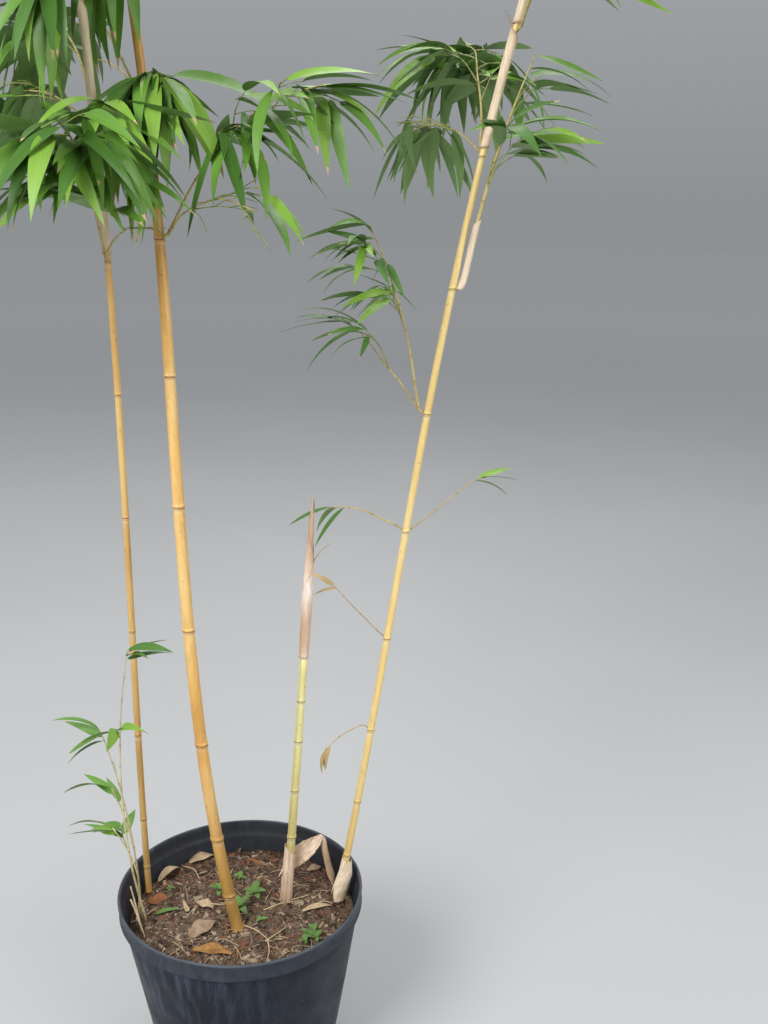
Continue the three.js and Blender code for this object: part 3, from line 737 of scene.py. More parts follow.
def make_pot():
    """The pot's shell, from an outline that runs up its outside, over its lip and down its inside."""
    height, rim, foot = POT.height, POT.rim, POT.foot
    shoulder, under = height - POT.band, rim - POT.step
    mouth, inner, floor = rim - POT.lip, under - POT.wall, POT.wall + POT.edge
    outside = [
        (0, 0.0015), (foot - 0.016, 0.0015), (foot - 0.014, 0), (foot - 0.004, 0), (foot - 0.001, 0.0008),
        (foot, 0.003),
    ]
    for i in range(1, SIDE_ROWS):
        t = i / SIDE_ROWS
        swell = 0.0012 * math.sin(math.pi * t)
        outside.append((foot + (under - foot) * t + swell, 0.003 + (shoulder - 0.009) * t))
    outside += [
        (under - 0.0004, shoulder - 0.006), (under - 0.0020, shoulder - 0.0008),
        (under - 0.0018, shoulder + 0.0006), (rim - 0.0024, shoulder), (rim - 0.0008, shoulder + 0.0005),
        (rim, shoulder + 0.0020), (rim - 0.0004, shoulder + 0.0042), (rim - 0.0024, shoulder + 0.010),
        (rim - 0.0031, shoulder + 0.017), (rim - 0.0024, height - 0.009), (rim - 0.0006, height - 0.0050),
        (rim, height - 0.0026), (rim - 0.0006, height - 0.0010), (rim - 0.0020, height),
        (rim - 0.0036, height - 0.0004), (mouth, height - 0.0022),
    ]
    inside = [
        (mouth - 0.0003, height - 0.012), (mouth - 0.0008, shoulder + POT.lip + 0.004),
        (mouth - 0.0022, shoulder + POT.lip), (inner + 0.001, shoulder + 0.001),
        (inner, shoulder - POT.edge), (inner - 0.0015, shoulder - 0.012),
        (foot - POT.wall, floor + 0.002), (foot - POT.wall - 0.003, floor), (0, floor),
    ]
    points, faces = turned(outside + inside, POT_SIDES)
    azimuth = np.arctan2(points[:, 1], points[:, 0])
    waves = 0.0022 * np.sin(2 * azimuth + 0.8) + 0.0014 * np.sin(5 * azimuth)
    points[:, :2] *= (1 + waves * (points[:, 2] / height) ** 2)[:, None]
    radius = np.hypot(points[:, 0], points[:, 1])
    points = out_of_round(points)
    # The top of the lip's outside is marked for its painted highlight.
    lip_highlight = (points[:, 2] > height - 0.0030) & (radius > mouth)
    within = np.zeros(len(points))
    within[POT_SIDES * (len(outside) - 1):-2] = 1
    shape = Shape("lip", "inside")
    shape.add(points, faces, lip=lip_highlight.astype(float), inside=within)
    bore_drains(make("pot_shell", shape, [pot_plastic()], "pot_plastic", ["pot"], sharp=40))


def bore_drains(pot):
    """Cuts the round drain holes through the pot's floor."""
    shape = Shape()
    for i in range(DRAIN.holes):
        middle = heading(360 * (i + 0.5) / DRAIN.holes) * POT.foot * DRAIN.ring_share
        path = [middle + UP * z for z in (-DRAIN.deep, 0, DRAIN.deep)]
        shape.add_tube(path, DRAIN.radius, DRAIN.sides)
    drill = put("drill", mesh_of("drill", np.concatenate(shape.points).tolist(), shape.faces))
    cut = pot.modifiers.new("drains", "BOOLEAN")
    cut.object, cut.solver = drill, "EXACT"
    whole = bpy.data.meshes.new_from_object(pot.evaluated_get(bpy.context.evaluated_depsgraph_get()))
    pot.modifiers.clear()
    pot.data = whole
    bpy.data.objects.remove(drill)


# Soil and what lies on it


def wall_at(height):
    """The radius inside the pot's wall that the soil fills."""
    low, high = POT.wall + POT.edge, POT.height - POT.band - POT.edge
    narrow, wide = POT.foot - POT.wall, POT.rim - POT.step - POT.wall
    return narrow + (wide - narrow) * (height - low) / (high - low) - SOIL.clear


def ripple(amount, *place):
    """An uneven offset that changes smoothly from place to place."""
    return amount * noise.noise(Vector(place))


def soil_height(x, y):
    """The uneven top of the mulch, a little lower along the pot's wall."""
    r = math.hypot(x, y) / wall_at(SOIL.top)
    lumps = ripple(0.0050, x * 22, y * 22, 3) + ripple(0.0028, x * 60, y * 60, 8)
    return SOIL.top + lumps - SOIL.edge_drop * max(0, min(1, r)) ** 6 - 0.001


def make_soil():
    """A plug of compost: a crumbly top of rings about its middle, a wall and a flat foot."""
    rings, sides = 60, 180
    edge, low = wall_at(SOIL.top), GAP + POT.wall + POT.edge
    points = [(0, 0, soil_height(0, 0))]
    for i in range(1, rings + 1):
        r = edge * i / rings
        for a in circle(sides):
            x, y = r * math.cos(a), r * math.sin(a)
            points.append((x, y, soil_height(x, y) + ripple(0.0012, x * 190, y * 190, 1)))
    faces = [(0, 1 + j, 1 + (j + 1) % sides) for j in range(sides)]
    faces += [tuple(1 + k for k in (d, c, b, a)) for a, b, c, d in grid_faces(rings, sides, True)]
    rim, foot = 1 + (rings - 1) * sides, len(points)
    points += [(wall_at(low) * math.cos(a), wall_at(low) * math.sin(a), low) for a in circle(sides)]
    faces += [(foot + j, foot + (j + 1) % sides, rim + (j + 1) % sides, rim + j) for j in range(sides)]
    faces.append(tuple(foot + j for j in range(sides - 1, -1, -1)))
    shape = Shape()
    shape.add(out_of_round(points), faces)
    make("soil_bed", shape, [soil_crumb()], "soil", ["soil"])


def rest_on_soil(x, y, above=0.0):
    r = math.hypot(x, y)
    limit = wall_at(SOIL.top) - 0.004
    if r > limit:
        x, y = x * limit / r, y * limit / r
    return np.array((x, y, soil_height(x, y) + above))


def random_place(rng, margin):
    """A place on the mulch, off the pot's wall by the margin."""
    r, a = (wall_at(SOIL.top) - margin) * math.sqrt(rng.random()), rng.uniform(0, 2 * math.pi)
    return r * math.cos(a), r * math.sin(a)


# The shares of the tones are those of the front, or behind it those of the back.
BARK_CHIPS = Spec(
    count=3400, long=(0.002, 0.016), shortness=2.2, wide=(0.25, 0.75), thick=(0.0006, 0.0022),
    ragged=(-0.4, 0.3), tilt=0.32, raised=0.15, margin=0.006, seed=5, front=0.05,
    front_shares=(0.26, 0.33, 0.17, 0.24), back_shares=(0.42, 0.26, 0.26, 0.06),
)
FIBRES = Spec(
    count=2600, long=(0.008, 0.046), radius=(0.00014, 0.00036), curl=9, rise=0.004,
    shares=(0.36, 0.40, 0.24), margin=0.02, seed=6,
)
# The outline of a grain of grit is of (height, radius), as shares of its size.
GRIT = Spec(
    count=40, size=(0.0007, 0.0018), uneven=(0.75, 1.2), raised=0.0012, margin=0.01, seed=8,
    outline=((-1, 0.35), (-0.7, 0.85), (0, 1.05), (0.7, 0.8), (1, 0.3)),
)
BARK_TONES = (
    ("bark_dark", (0.020, 0.012, 0.008), (0.075, 0.046, 0.030)),
    ("bark_brown", (0.080, 0.050, 0.032), (0.21, 0.14, 0.095)),
    ("bark_red", (0.10, 0.040, 0.022), (0.24, 0.105, 0.058)),
    ("bark_tan", (0.22, 0.155, 0.105), (0.46, 0.35, 0.25)),
)
FIBRE_TONES = (
    ("fibre_brown", (0.070, 0.046, 0.031), (0.17, 0.12, 0.083)),
    ("fibre_tan", (0.22, 0.16, 0.105), (0.38, 0.29, 0.20)),
    ("fibre_straw", (0.40, 0.32, 0.22), (0.58, 0.48, 0.35)),
)


def make_bark_chips():
    """Splintered flat chips in four tones, most of them lying, some standing in the mulch."""
    rng = np.random.default_rng(BARK_CHIPS.seed)
    corners = np.array([(x, y, z) for x in (-1, 1) for y in (-1, 1) for z in (-1, 1)], float)
    sides = [(0, 1, 3, 2), (4, 6, 7, 5), (0, 4, 5, 1), (2, 3, 7, 6), (0, 2, 6, 4), (1, 5, 7, 3)]
    low, high = BARK_CHIPS.long
    shape = Shape()
    for _ in range(BARK_CHIPS.count):
        x, y = random_place(rng, BARK_CHIPS.margin)
        long = low + (high - low) * rng.random() ** BARK_CHIPS.shortness
        wide = long * rng.uniform(*BARK_CHIPS.wide)
        thick = rng.uniform(*BARK_CHIPS.thick)
        box = corners * (long / 2, wide / 2, thick / 2) * (1 + rng.uniform(*BARK_CHIPS.ragged, (8, 3)))
        turn = Matrix.Rotation(rng.uniform(0, 2 * math.pi), 3, "Z")
        for axis in "YX":
            turn = turn @ Matrix.Rotation(rng.normal(0, BARK_CHIPS.tilt), 3, axis)
        at = rest_on_soil(x, y, thick * BARK_CHIPS.raised)
        shares = BARK_CHIPS.back_shares if y > BARK_CHIPS.front else BARK_CHIPS.front_shares
        tone = int(rng.choice(4, p=shares))
        shape.add(out_of_round(box @ np.array(turn).T + at), sides, tone)
    make("bark_chips", shape, [litter(*tones) for tones in BARK_TONES], "soil", sharp=0)


def lying_strand(rng, start, azimuth, long, radius, curl, rise):
    """A thin strand that lies along the mulch, bending as it goes."""
    steps = 6
    path = []
    x, y = start
    for i in range(steps):
        path.append(rest_on_soil(x, y, radius + rise * math.sin(math.pi * i / (steps - 1))))
        azimuth += curl + rng.normal(0, 4)
        x += long / steps * math.cos(math.radians(azimuth))
        y += long / steps * math.sin(math.radians(azimuth))
    return out_of_round(path)


def make_fibres():
    rng = np.random.default_rng(FIBRES.seed)
    shape = Shape()
    for _ in range(FIBRES.count):
        start = random_place(rng, FIBRES.margin)
        long, radius = rng.uniform(*FIBRES.long), rng.uniform(*FIBRES.radius)
        curl, rise = rng.normal(0, FIBRES.curl), rng.uniform(0, FIBRES.rise)
        path = lying_strand(rng, start, rng.uniform(0, 360), long, radius, curl, rise)
        tone = int(rng.choice(3, p=FIBRES.shares))
        shape.add_tube(path, radius * np.linspace(1, 0.5, len(path)), 4, tone)
    make("root_fibres", shape, [litter(*tones) for tones in FIBRE_TONES], "soil")


def make_grit():
    rng = np.random.default_rng(GRIT.seed)
    shape = Shape()
    for _ in range(GRIT.count):
        x, y = random_place(rng, GRIT.margin)
        size = rng.uniform(*GRIT.size)
        at = rest_on_soil(x, y, GRIT.raised)
        heights, radii = zip(*GRIT.outline)
        points, faces = tube([at + UP * z * size for z in heights], size * np.array(radii), 7)
        points = at + (points - at) * rng.uniform(*GRIT.uneven, (len(points), 1))
        shape.add(out_of_round(points), faces)
    make("grit", shape, [litter("grit_pale", (0.34, 0.31, 0.27), (0.56, 0.53, 0.48))], "soil", sharp=30)


# Leaves


# How far along a leaf its rows lie, and how wide it is there.
LEAF_ROWS = np.array((0.03, 0.05, 0.09, 0.16, 0.25, 0.36, 0.48, 0.60, 0.71, 0.81, 0.90, 0.96))
LEAF_WIDTHS = np.array((0.05, 0.38, 0.68, 0.90, 1.0, 0.985, 0.90, 0.75, 0.57, 0.38, 0.20, 0.08))
ROUND_WIDTHS = np.array((0.1, 0.30, 0.58, 0.80, 0.95, 1.0, 0.98, 0.92, 0.80, 0.64, 0.44, 0.26))


def leaf_faces(count):
    """The faces of a blade of rows of four points: left edge, top, right edge and underside.

    Top and underside are cut along the same diagonals, so that they never cross. The second list says for
    each face whether it is part of the underside, and the third whether it is part of the tip.
    """
    faces, below, tip = [], [], []
    for i in range(count - 1):
        left, top, right, under = range(4 * i, 4 * i + 4)
        faces += [(left, top + 4, top), (left, left + 4, top + 4)]
        faces += [(top, right + 4, right), (top, top + 4, right + 4)]
        faces += [(right, right + 4, under), (under, right + 4, under + 4)]
        faces += [(under, under + 4, left), (left, under + 4, left + 4)]
        below += [False] * 4 + [True] * 4
        tip += [i >= count - 2] * 8
    foot, end, last = 4 * count, 4 * count + 1, 4 * (count - 1)
    for j in range(4):
        faces += [(foot, j, (j + 1) % 4), (end, last + (j + 1) % 4, last + j)]
        below += [j > 1, j > 1]
        tip += [False, True]
    return faces, below, tip


def leaf(base, tip, across, width, bow=0.08, twist=0.0, fold=0.2, wave=0.0, outline=LEAF_WIDTHS):
    """The points of a thin blade on a short stalk, arched along its length and folded along its midrib.

    The second result is each point's place across the blade, from -1 to 1.
    """
    chord = tip - base
    length = math.sqrt(float(np.dot(chord, chord)))
    up = unit(np.cross(chord, across))
    t = LEAF_ROWS[:, None]
    middle = base + chord * t + up * (bow * length * LEAF.bow * t * (1 - t))
    angle = twist * (t - 0.2)
    side = across * np.cos(angle) + up * np.sin(angle)
    over = up * np.cos(angle) - across * np.sin(angle)
    half = width / 2 * outline[:, None]
    waved = wave * np.sin(t * 9.0) * half
    lift = fold * half
    left = middle - side * half + over * (lift + waved)
    right = middle + side * half + over * (lift - waved)
    top = middle + over * LEAF.thickness / 2
    under = middle - over * LEAF.thickness / 2
    rows = np.stack([left, top, right, under], axis=1).reshape(-1, 3)
    points = np.concatenate([rows, [base, tip]])
    places = np.concatenate([np.tile((-1.0, 0.0, 1.0, 0.0), len(LEAF_ROWS)), (0, 0)])
    return points, places


LEAF_FACES, LEAF_BELOW, LEAF_TIP = leaf_faces(len(LEAF_ROWS))


def add_leaf(shape, base, tip, across, width, materials=(0, 1, 2), dry_tip=False, **form):
    points, places = leaf(base, tip, across, width, **form)
    upper, under, dry = materials
    sides = [under if below else upper for below in LEAF_BELOW]
    kinds = [dry if dry_tip and end else side for side, end in zip(sides, LEAF_TIP)]
    shape.add(points, LEAF_FACES, kinds, across=places)


def add_scrap(shape, base, tip, across, width, tone, **form):
    """A leaf in one material."""
    add_leaf(shape, base, tip, across, width, (tone,) * 3, **form)


# Culms


# How far from a node a culm's rings lie, and the forms that stand out or in at a node.
NODE_ROWS = (
    -0.030, -0.022, -0.016, -0.011, -0.008, -0.0058, -0.0042, -0.0030, -0.0022, -0.0016, -0.0011, -0.0006, 0,
    0.0006, 0.0013, 0.0021, 0.0030, 0.0039, 0.0050, 0.0064, 0.0085, 0.012, 0.018, 0.026,
)
SCAR = Spec(at=-0.0014, wide=0.0007, high=0.10)
DIP = Spec(at=0.0002, wide=0.0008, high=-0.065)
RIDGE = Spec(at=0.0030, wide=0.0022, high=0.135)
NECK = Spec(at=-0.0075, wide=0.0045, high=-0.035)
# A groove runs up from a node and fades out below the next. A stripe is so many degrees to each side.
GROOVE = Spec(deep=0.1, fade=1.15, clear=0.006, narrow=2.1)
STRIPE = 26
# A culm is browner toward its foot, up to this height.
OLD_FOOT = Spec(height=0.42, power=1.3)


def bell(d, at, wide):
    return math.exp(-(((d - at) / wide) ** 2))


def node_relief(d, scale):
    """How far a culm stands out, as a share of its radius, at a distance above its node."""
    return sum(part.high * bell(d, part.at, part.wide * scale) for part in (SCAR, DIP, RIDGE, NECK))


def culm_rows(culm):
    """The heights of a culm's rings, close together at its nodes and its foot, and its nodes' heights."""
    heights, near, spacing = node_heights(culm), 0.031, 0.022
    rows = {0, 0.002, 0.005, 0.009, NODE.flare_height, culm["height"]}
    rows.update(i * spacing for i in range(int(culm["height"] / spacing)))
    rows = {h for h in rows if all(abs(h - n) > near for n in heights)}
    rows.update(n + d for n in heights for d in NODE_ROWS if 0 < n + d < culm["height"])
    return sorted(rows | {0, culm["height"]}), heights


def make_culm(culm, sides, material, slot, groove_from, stripe=0.0):
    """A culm with its nodes in relief, and a groove above each branching node on alternate sides.

    A striped culm has no groove, but a green stripe up every internode.
    """
    rows, heights = culm_rows(culm)
    scale = max(0.6, culm["radius"] / 0.011) ** 0.5
    shape = Shape("ring", "bloom", "foot", "stripe")
    points, marks = [], {name: [] for name in shape.marks}
    for h in rows:
        d = min((h - n for n in heights), key=abs)
        k = sum(n <= h for n in heights) - 1
        top = heights[k + 1] if k + 1 < len(heights) else culm["height"]
        foot = heights[k] if k >= 0 else 0
        share = (h - foot) / max(1e-6, top - foot)
        flare = 1 + (NODE.flare - 1) * max(0, 1 - h / NODE.flare_height) ** 2
        radius = culm_radius(culm, h) * (1 + node_relief(d, scale)) * flare
        middle = culm_point(culm, h)
        facing = groove_from + (0 if stripe else 180 * (k % 2))
        fade = max(0, 1 - share * GROOVE.fade) * min(1, abs(d) / GROOVE.clear)
        deep = 0 if stripe or k < 0 else GROOVE.deep * fade
        marks["ring"] += [0.9 * bell(d, DIP.at, 0.0010 * scale) + 0.3 * bell(d, -0.0022, 0.0012)] * sides
        marks["bloom"] += [0.55 * bell(d, -0.006, 0.0038) if d < 0 else 0] * sides
        marks["foot"] += [max(0, 1 - h / OLD_FOOT.height) ** OLD_FOOT.power] * sides
        for angle in np.linspace(0, 360, sides, endpoint=False):
            off = abs((angle - facing + 180) % 360 - 180)
            window = max(0, math.cos(math.radians(min(90, off * GROOVE.narrow))))
            waver = ripple(0.012, *heading(angle)[:2], h * 9)
            points.append(middle + heading(angle) * radius * (1 - deep * window + waver))
            marks["stripe"].append(stripe * max(0, 1 - off / STRIPE) ** 0.5)
    shape.add(points, capped_faces(len(rows), sides), **marks)
    node = "young_shoot" if culm is SHOOT else "culm_" + culm["name"]
    make("cane_" + culm["name"], shape, [material], slot, [node])


# Papery sheets


SHEET = ("along", "across", "edge", "pale", "dark")


def add_sheet(shape, grid, **marks):
    """A sheet of rows of points, whose veins follow the distances along and across it."""
    grid = np.asarray(grid)
    steps = [np.linalg.norm(np.diff(grid, axis=axis), axis=2) for axis in (0, 1)]
    marks["along"] = np.pad(np.cumsum(steps[0], axis=0), ((1, 0), (0, 0)))
    marks["across"] = np.pad(np.cumsum(steps[1], axis=1), ((0, 0), (1, 0)))
    marks = {name: np.broadcast_to(values, grid.shape[:2]).ravel() for name, values in marks.items()}
    shape.add(grid, grid_faces(*grid.shape[:2]), **marks)


def sheet_rows(rows, columns, point):
    """The points of a sheet by two shares: from 0 at its foot to 1 at its mouth, and from -1 to 1 across."""
    return np.array([[point(u, v) for v in np.linspace(-1, 1, columns)] for u in np.linspace(0, 1, rows)])


def wrapped(culm, rows, columns, place):
    """The points of a sheet round a culm, where place gives azimuth, radius and height for two shares."""

    def point(u, v):
        azimuth, radius, height = place(u, v)
        return culm_point(culm, height) + radius * heading(azimuth)

    return sheet_rows(rows, columns, point)


def along_rows(rows, *bells):
    """A mark that changes only from row to row: bells of (amount, at, wide)."""
    shares = np.linspace(0, 1, rows)
    return np.array([[sum(amount * bell(u, at, wide) for amount, at, wide in bells)] for u in shares])


def make_sheet(name, shape, material, slot, thickness, replaced=()):
    piece = make(name, shape, [material], slot, replaced)
    wall = piece.modifiers.new("wall", "SOLIDIFY")
    wall.thickness, wall.offset = thickness, 0


def make_sheath(name, culm, low, high, paper, blade_paper, seed, opening):
    """A papery sheath rolled round one internode, with a slanted mouth and a small dry blade."""
    rows, columns = 34, 31

    def place(u, v):
        slant = SHEATH.slant * max(0, 1 - abs(v)) ** 0.8 - SHEATH.dip * v * v
        ragged = ripple(0.0016, v * 9, seed, 0)
        height = low + (high - low + slant * u + ragged * u) * u
        loose = SHEATH.loose * (0.25 + 1.1 * u**3)
        overlap = 0.0010 * (v + 1) / 2
        crumple = ripple(0.0005, v * 3, u * 9, seed)
        radius = culm_radius(culm, height) + GAP + 0.0004 + loose + overlap + crumple
        radius += 0.0007 * bell(u, 0, 0.012)
        return opening + 180 + v * 180 * SHEATH.turns, radius, height

    shape = Shape(*SHEET)
    edge, pale = along_rows(rows, (0.55, 0, 0.015), (0.45, 1, 0.02)), along_rows(rows, (0.5, 0.5, 0.3))
    add_sheet(shape, wrapped(culm, rows, columns, place), edge=edge, pale=pale)
    make_sheet("sheath_skin_" + name, shape, paper, "sheath", 0.0005, ["sheath_" + name])
    azimuth, radius, height = place(1, 0)
    base = culm_point(culm, height - 0.003) + heading(azimuth) * radius
    blade = Shape("across")
    tip = base + heading(azimuth + 20, 58) * (0.022 + 0.016 * chance(seed, 3))
    add_scrap(blade, base, tip, heading(azimuth + 110), 0.0035, 0, bow=0.16, twist=0.8)
    make("sheath_blade_" + name, blade, [blade_paper], "sheath")


def tip_height(share):
    """A height on the growing point, by its share."""
    return SHOOT["height"] + GAP + SHOOT_TIP.height * share


def tip_girth(share):
    return SHOOT_TIP.radius * float(np.interp(share, *zip(*SHOOT_TIP.outline)))


def tip_tones(shares):
    """Blushed below, pale in the middle, and brown again with streaks toward the point."""
    pale = [bell(share, 0.42, 0.13) for share in shares]
    dark = [0.32 * bell(share, 0.12, 0.16) + 0.5 * max(0, min(1, (share - 0.58) / 0.2)) for share in shares]
    return np.array(pale), np.array(dark)


def make_tip_core(paper):
    """The growing point's slim core."""
    sides, shares = 20, np.linspace(0, 1, 40)
    angles = np.linspace(0, 360, sides, endpoint=False)
    points = [
        culm_point(SHOOT, tip_height(share)) + heading(angle) * max(0.0004, tip_girth(share) * 0.86)
        for share in shares for angle in angles
    ]
    pale, dark = tip_tones(np.repeat(shares, sides))
    along = np.repeat(shares * SHOOT_TIP.height, sides)
    across = np.tile(np.radians(angles) * SHOOT_TIP.radius, len(shares))
    core = Shape(*SHEET)
    core.add(points, capped_faces(len(shares), sides), along=along, across=across, pale=pale, dark=dark)
    make("shoot_core", core, [paper], "sheath", ["shoot_tip"])


# The sheaths of the growing point open one out of another, each with a pointed mouth.
TIP_WRAPS = table(
    "from to opening seed point out",
    (0, 0.44, 200, 3, 0.26, 0.0009),
    (0.27, 0.62, 20, 5, 0.22, 0.0004),
    (0.52, 0.86, 190, 9, 0.10, 0.0001),
)
TIP_BLADES = table(
    "at azimuth rise length",
    (0.68, 185, 81, 0.052),
    (0.86, 30, 84, 0.036),
    (0.95, 260, 86, 0.014),
)


def make_tip_wraps(paper):
    rows, columns = 34, 29
    shape = Shape(*SHEET)
    for wrap in TIP_WRAPS:

        def share_at(u, v, wrap=wrap):
            point = wrap["point"] * (1 - abs(v)) ** 1.6 * u**2.5
            return min(0.985, wrap["from"] + (wrap["to"] - wrap["from"]) * u + point)

        def place(u, v, wrap=wrap):
            share = share_at(u, v)
            crumple = ripple(0.0004, v * 3, u * 7, wrap["seed"])
            ring = 0.0008 * bell(u, 0, 0.02) * (wrap["from"] == 0)
            wide = max(0.0008, tip_girth(share)) * 0.93 + wrap["out"] + 0.0008 * (v + 1) / 2 + crumple + ring
            return wrap["opening"] + 180 + v * 200, wide, tip_height(share)

        shares = sheet_rows(rows, columns, share_at).ravel()
        pale, dark = (mark.reshape(rows, columns) for mark in tip_tones(shares))
        edge = along_rows(rows, (0.5, 1, 0.035))
        add_sheet(shape, wrapped(SHOOT, rows, columns, place), edge=edge, pale=pale, dark=dark)
    make_sheet("shoot_wraps", shape, paper, "sheath", 0.0005)


def make_tip_blades(paper):
    """The blades of the growing point's sheaths: one that stands off, and small ones at the mouths."""
    shape = Shape("across")
    at = culm_point(SHOOT, tip_height(SHOOT_BLADE.at))
    tip = at + heading(0, SHOOT_BLADE.rise) * SHOOT_BLADE.length
    add_scrap(shape, at, tip, heading(90), SHOOT_BLADE.width * 0.8, 0, bow=0.1, twist=0.6)
    for blade in TIP_BLADES:
        share, azimuth = blade["at"], blade["azimuth"]
        at = culm_point(SHOOT, tip_height(share)) + heading(azimuth) * tip_girth(share) * 0.6
        tip = at + heading(azimuth, blade["rise"]) * blade["length"]
        add_scrap(shape, at, tip, heading(azimuth + 90), 0.0040, 0, bow=-0.03)
    make("shoot_blades", shape, [paper], "sheath")


# A scrap that hangs off the husk's left side.
HUSK_FLAP = {
    "base": (0.0745, 0.033, 0.386), "tip": (0.0625, 0.028, 0.3705), "across": (0.25, 0.2, 1),
    "wide": 0.014, "curl": 0.003,
}
# Scraps round the husk's foot: azimuth, height and width.
HUSK_SCRAPS = ((195, 0.021, 0.009), (228, 0.014, 0.010), (262, 0.009, 0.008), (330, 0.012, 0.007))


def make_shoot_husk(paper):
    """The husk that wraps the young shoot's foot: tight to the right, loose to the left and back."""
    rows, columns = 44, 49

    def place(u, v):
        azimuth = HUSK_SHOOT.opening + 180 + v * HUSK_SHOOT.wrap
        toward = math.cos(math.radians(azimuth - HUSK_SHOOT.loose_toward))
        mouth = HUSK_SHOOT.mouth + HUSK_SHOOT.tilt * toward + ripple(0.0020, v * 8, 2, 5)
        level = HUSK_SHOOT.foot + (mouth - HUSK_SHOOT.foot) * u
        slack = HUSK_SHOOT.loose * max(0, toward) * (0.5 + 0.5 * math.sin(math.pi * min(1, 0.15 + u)))
        foot = 0.0014 * bell(u, 0, 0.16)
        crumple = ripple(0.0010, v * 5, u * 6, 3) * (0.3 + slack * 200)
        radius = culm_radius(SHOOT, level) + HUSK_SHOOT.tight + slack + foot + crumple + 0.0012 * (v + 1) / 2
        return azimuth, radius, level

    shape = Shape(*SHEET)
    edge = along_rows(rows, (0.35, 1, 0.02))
    pale, dark = along_rows(rows, (0.7, 0.75, 0.3)), along_rows(rows, (0.5, 0, 0.22))
    add_sheet(shape, wrapped(SHOOT, rows, columns, place), edge=edge, pale=pale, dark=dark)
    add_flap(shape, **HUSK_FLAP)
    for azimuth, high, wide in HUSK_SCRAPS:
        foot = culm_point(SHOOT, 0.001) + heading(azimuth) * 0.0125
        tip = foot + heading(azimuth, 72) * high
        add_flap(shape, foot, tip, heading(azimuth + 90), wide, 0.0015, dark=0.5)
    make_sheet("husk_wrap_shoot", shape, paper, "husk", 0.0006, ["husk_shoot"])


def add_flap(shape, base, tip, across, wide, curl, **marks):
    """A small pointed scrap of sheath."""
    base, tip, across = np.array(base), np.array(tip), unit(np.array(across, float))
    over = unit(np.cross(tip - base, across))

    def point(u, v):
        t = 0.97 * u
        return base + (tip - base) * t + across * wide / 2 * v * (1 - t) ** 0.7 + over * curl * (v * v - t)

    add_sheet(shape, sheet_rows(9, 7, point), **marks)


def make_right_husk(paper):
    """A husk pressed flat against the front of the right culm, split at its foot into two legs."""
    culm, rows, columns = CULMS[2], 40, 45

    def along(name, at):
        return float(np.interp(at, *zip(*HUSK_RIGHT[name])))

    def point(u, v):
        ragged = ripple(0.0016, v * 7, 4, 1)
        top = HUSK_RIGHT["height"] - HUSK_RIGHT["slant"] * (v + 1) / 2 + ragged
        foot = max(0.001, along("foot", v) + ragged)
        level = foot + (top - foot) * u
        share = level / HUSK_RIGHT["height"]
        left, right = along("left", share), along("right", share)
        turn = math.radians(v * HUSK_RIGHT["back"])
        deep = culm_radius(culm, level) * NODE.flare + 0.0024
        crumple = ripple(0.0014, v * 4, u * 5, 6)
        x = (left + right) / 2 + (right - left) / 2 * math.sin(turn)
        return culm_point(culm, level) + (x, -(deep + crumple) * math.cos(turn), 0)

    shape = Shape(*SHEET)
    edge, pale = along_rows(rows, (0.3, 1, 0.02), (0.25, 0, 0.03)), along_rows(rows, (0.8, 0.6, 0.4))
    add_sheet(shape, sheet_rows(rows, columns, point), edge=edge, pale=pale)
    make_sheet("husk_wrap_right", shape, paper, "husk", 0.0007, ["husk_right"])


def make_peeled(paper):
    """The sheath that peeled off behind the young shoot: a broad face, a crisp fold and a narrow tail."""
    waist = HUSK_SHOOT.height * 0.4
    root = culm_point(SHOOT, waist)
    root[1] += culm_radius(SHOOT, waist) * NODE.flare + 0.0048
    shape = Shape(*SHEET)
    for part, columns, hollow in ((PEELED_FACE, 17, -0.10), (PEELED_TAIL, 9, 0.30)):
        places = [root + np.array(offset) for offset, _ in part]
        path = smooth_path(places, 0.0025)
        rows = len(path)
        widths = np.interp(np.linspace(0, 1, rows), np.linspace(0, 1, len(part)), [wide for _, wide in part])
        runs = np.gradient(path, axis=0)
        grid = []
        for i, (middle, run, wide) in enumerate(zip(path, runs, widths)):
            side = unit(np.cross(unit(run), heading(90)))
            grid.append([])
            for v in np.linspace(-1, 1, columns):
                ragged = 1 + ripple(0.07, i * 0.4, v, 9)
                bent = hollow * wide * (v * v - 0.4) + ripple(0.0012, v * 2, i * 0.3, 4)
                grid[-1].append(middle + side * wide / 2 * v * ragged + heading(90) * bent)
        edge = 0.35 * np.abs(np.linspace(-1, 1, columns)) ** 10
        add_sheet(shape, grid, edge=edge[None], pale=0.35 if part is PEELED_FACE else 0.0)
    make_sheet("husk_strip", shape, paper, "husk", 0.0006, ["husk_peeled"])


# Branches


def stem_points(start, turn, rise, arch, reach, seed):
    points = [start]
    for i in range(BRANCH.steps):
        bent = rise - arch * (i / (BRANCH.steps - 1)) ** BRANCH.arch_power
        direction = heading(turn + swing(BRANCH.wander, seed, 1, i), bent)
        points.append(points[i] + direction * reach / BRANCH.steps)
    return points


def limb(points, radius, leaves, seed, coarse):
    """A tapering limb. The first leaves, as many as coarse, are those of the frame's own sprays."""
    return {
        "points": points, "path": smooth_path(points, LIMB.path_spacing), "radius": radius,
        "leaves": leaves, "coarse": coarse, "seed": seed, "twigs": [],
    }


def on_limb(parent, p):
    """The point of a limb's path that is nearest to p."""
    return parent["path"][np.argmin(np.linalg.norm(parent["path"] - p, axis=1))]


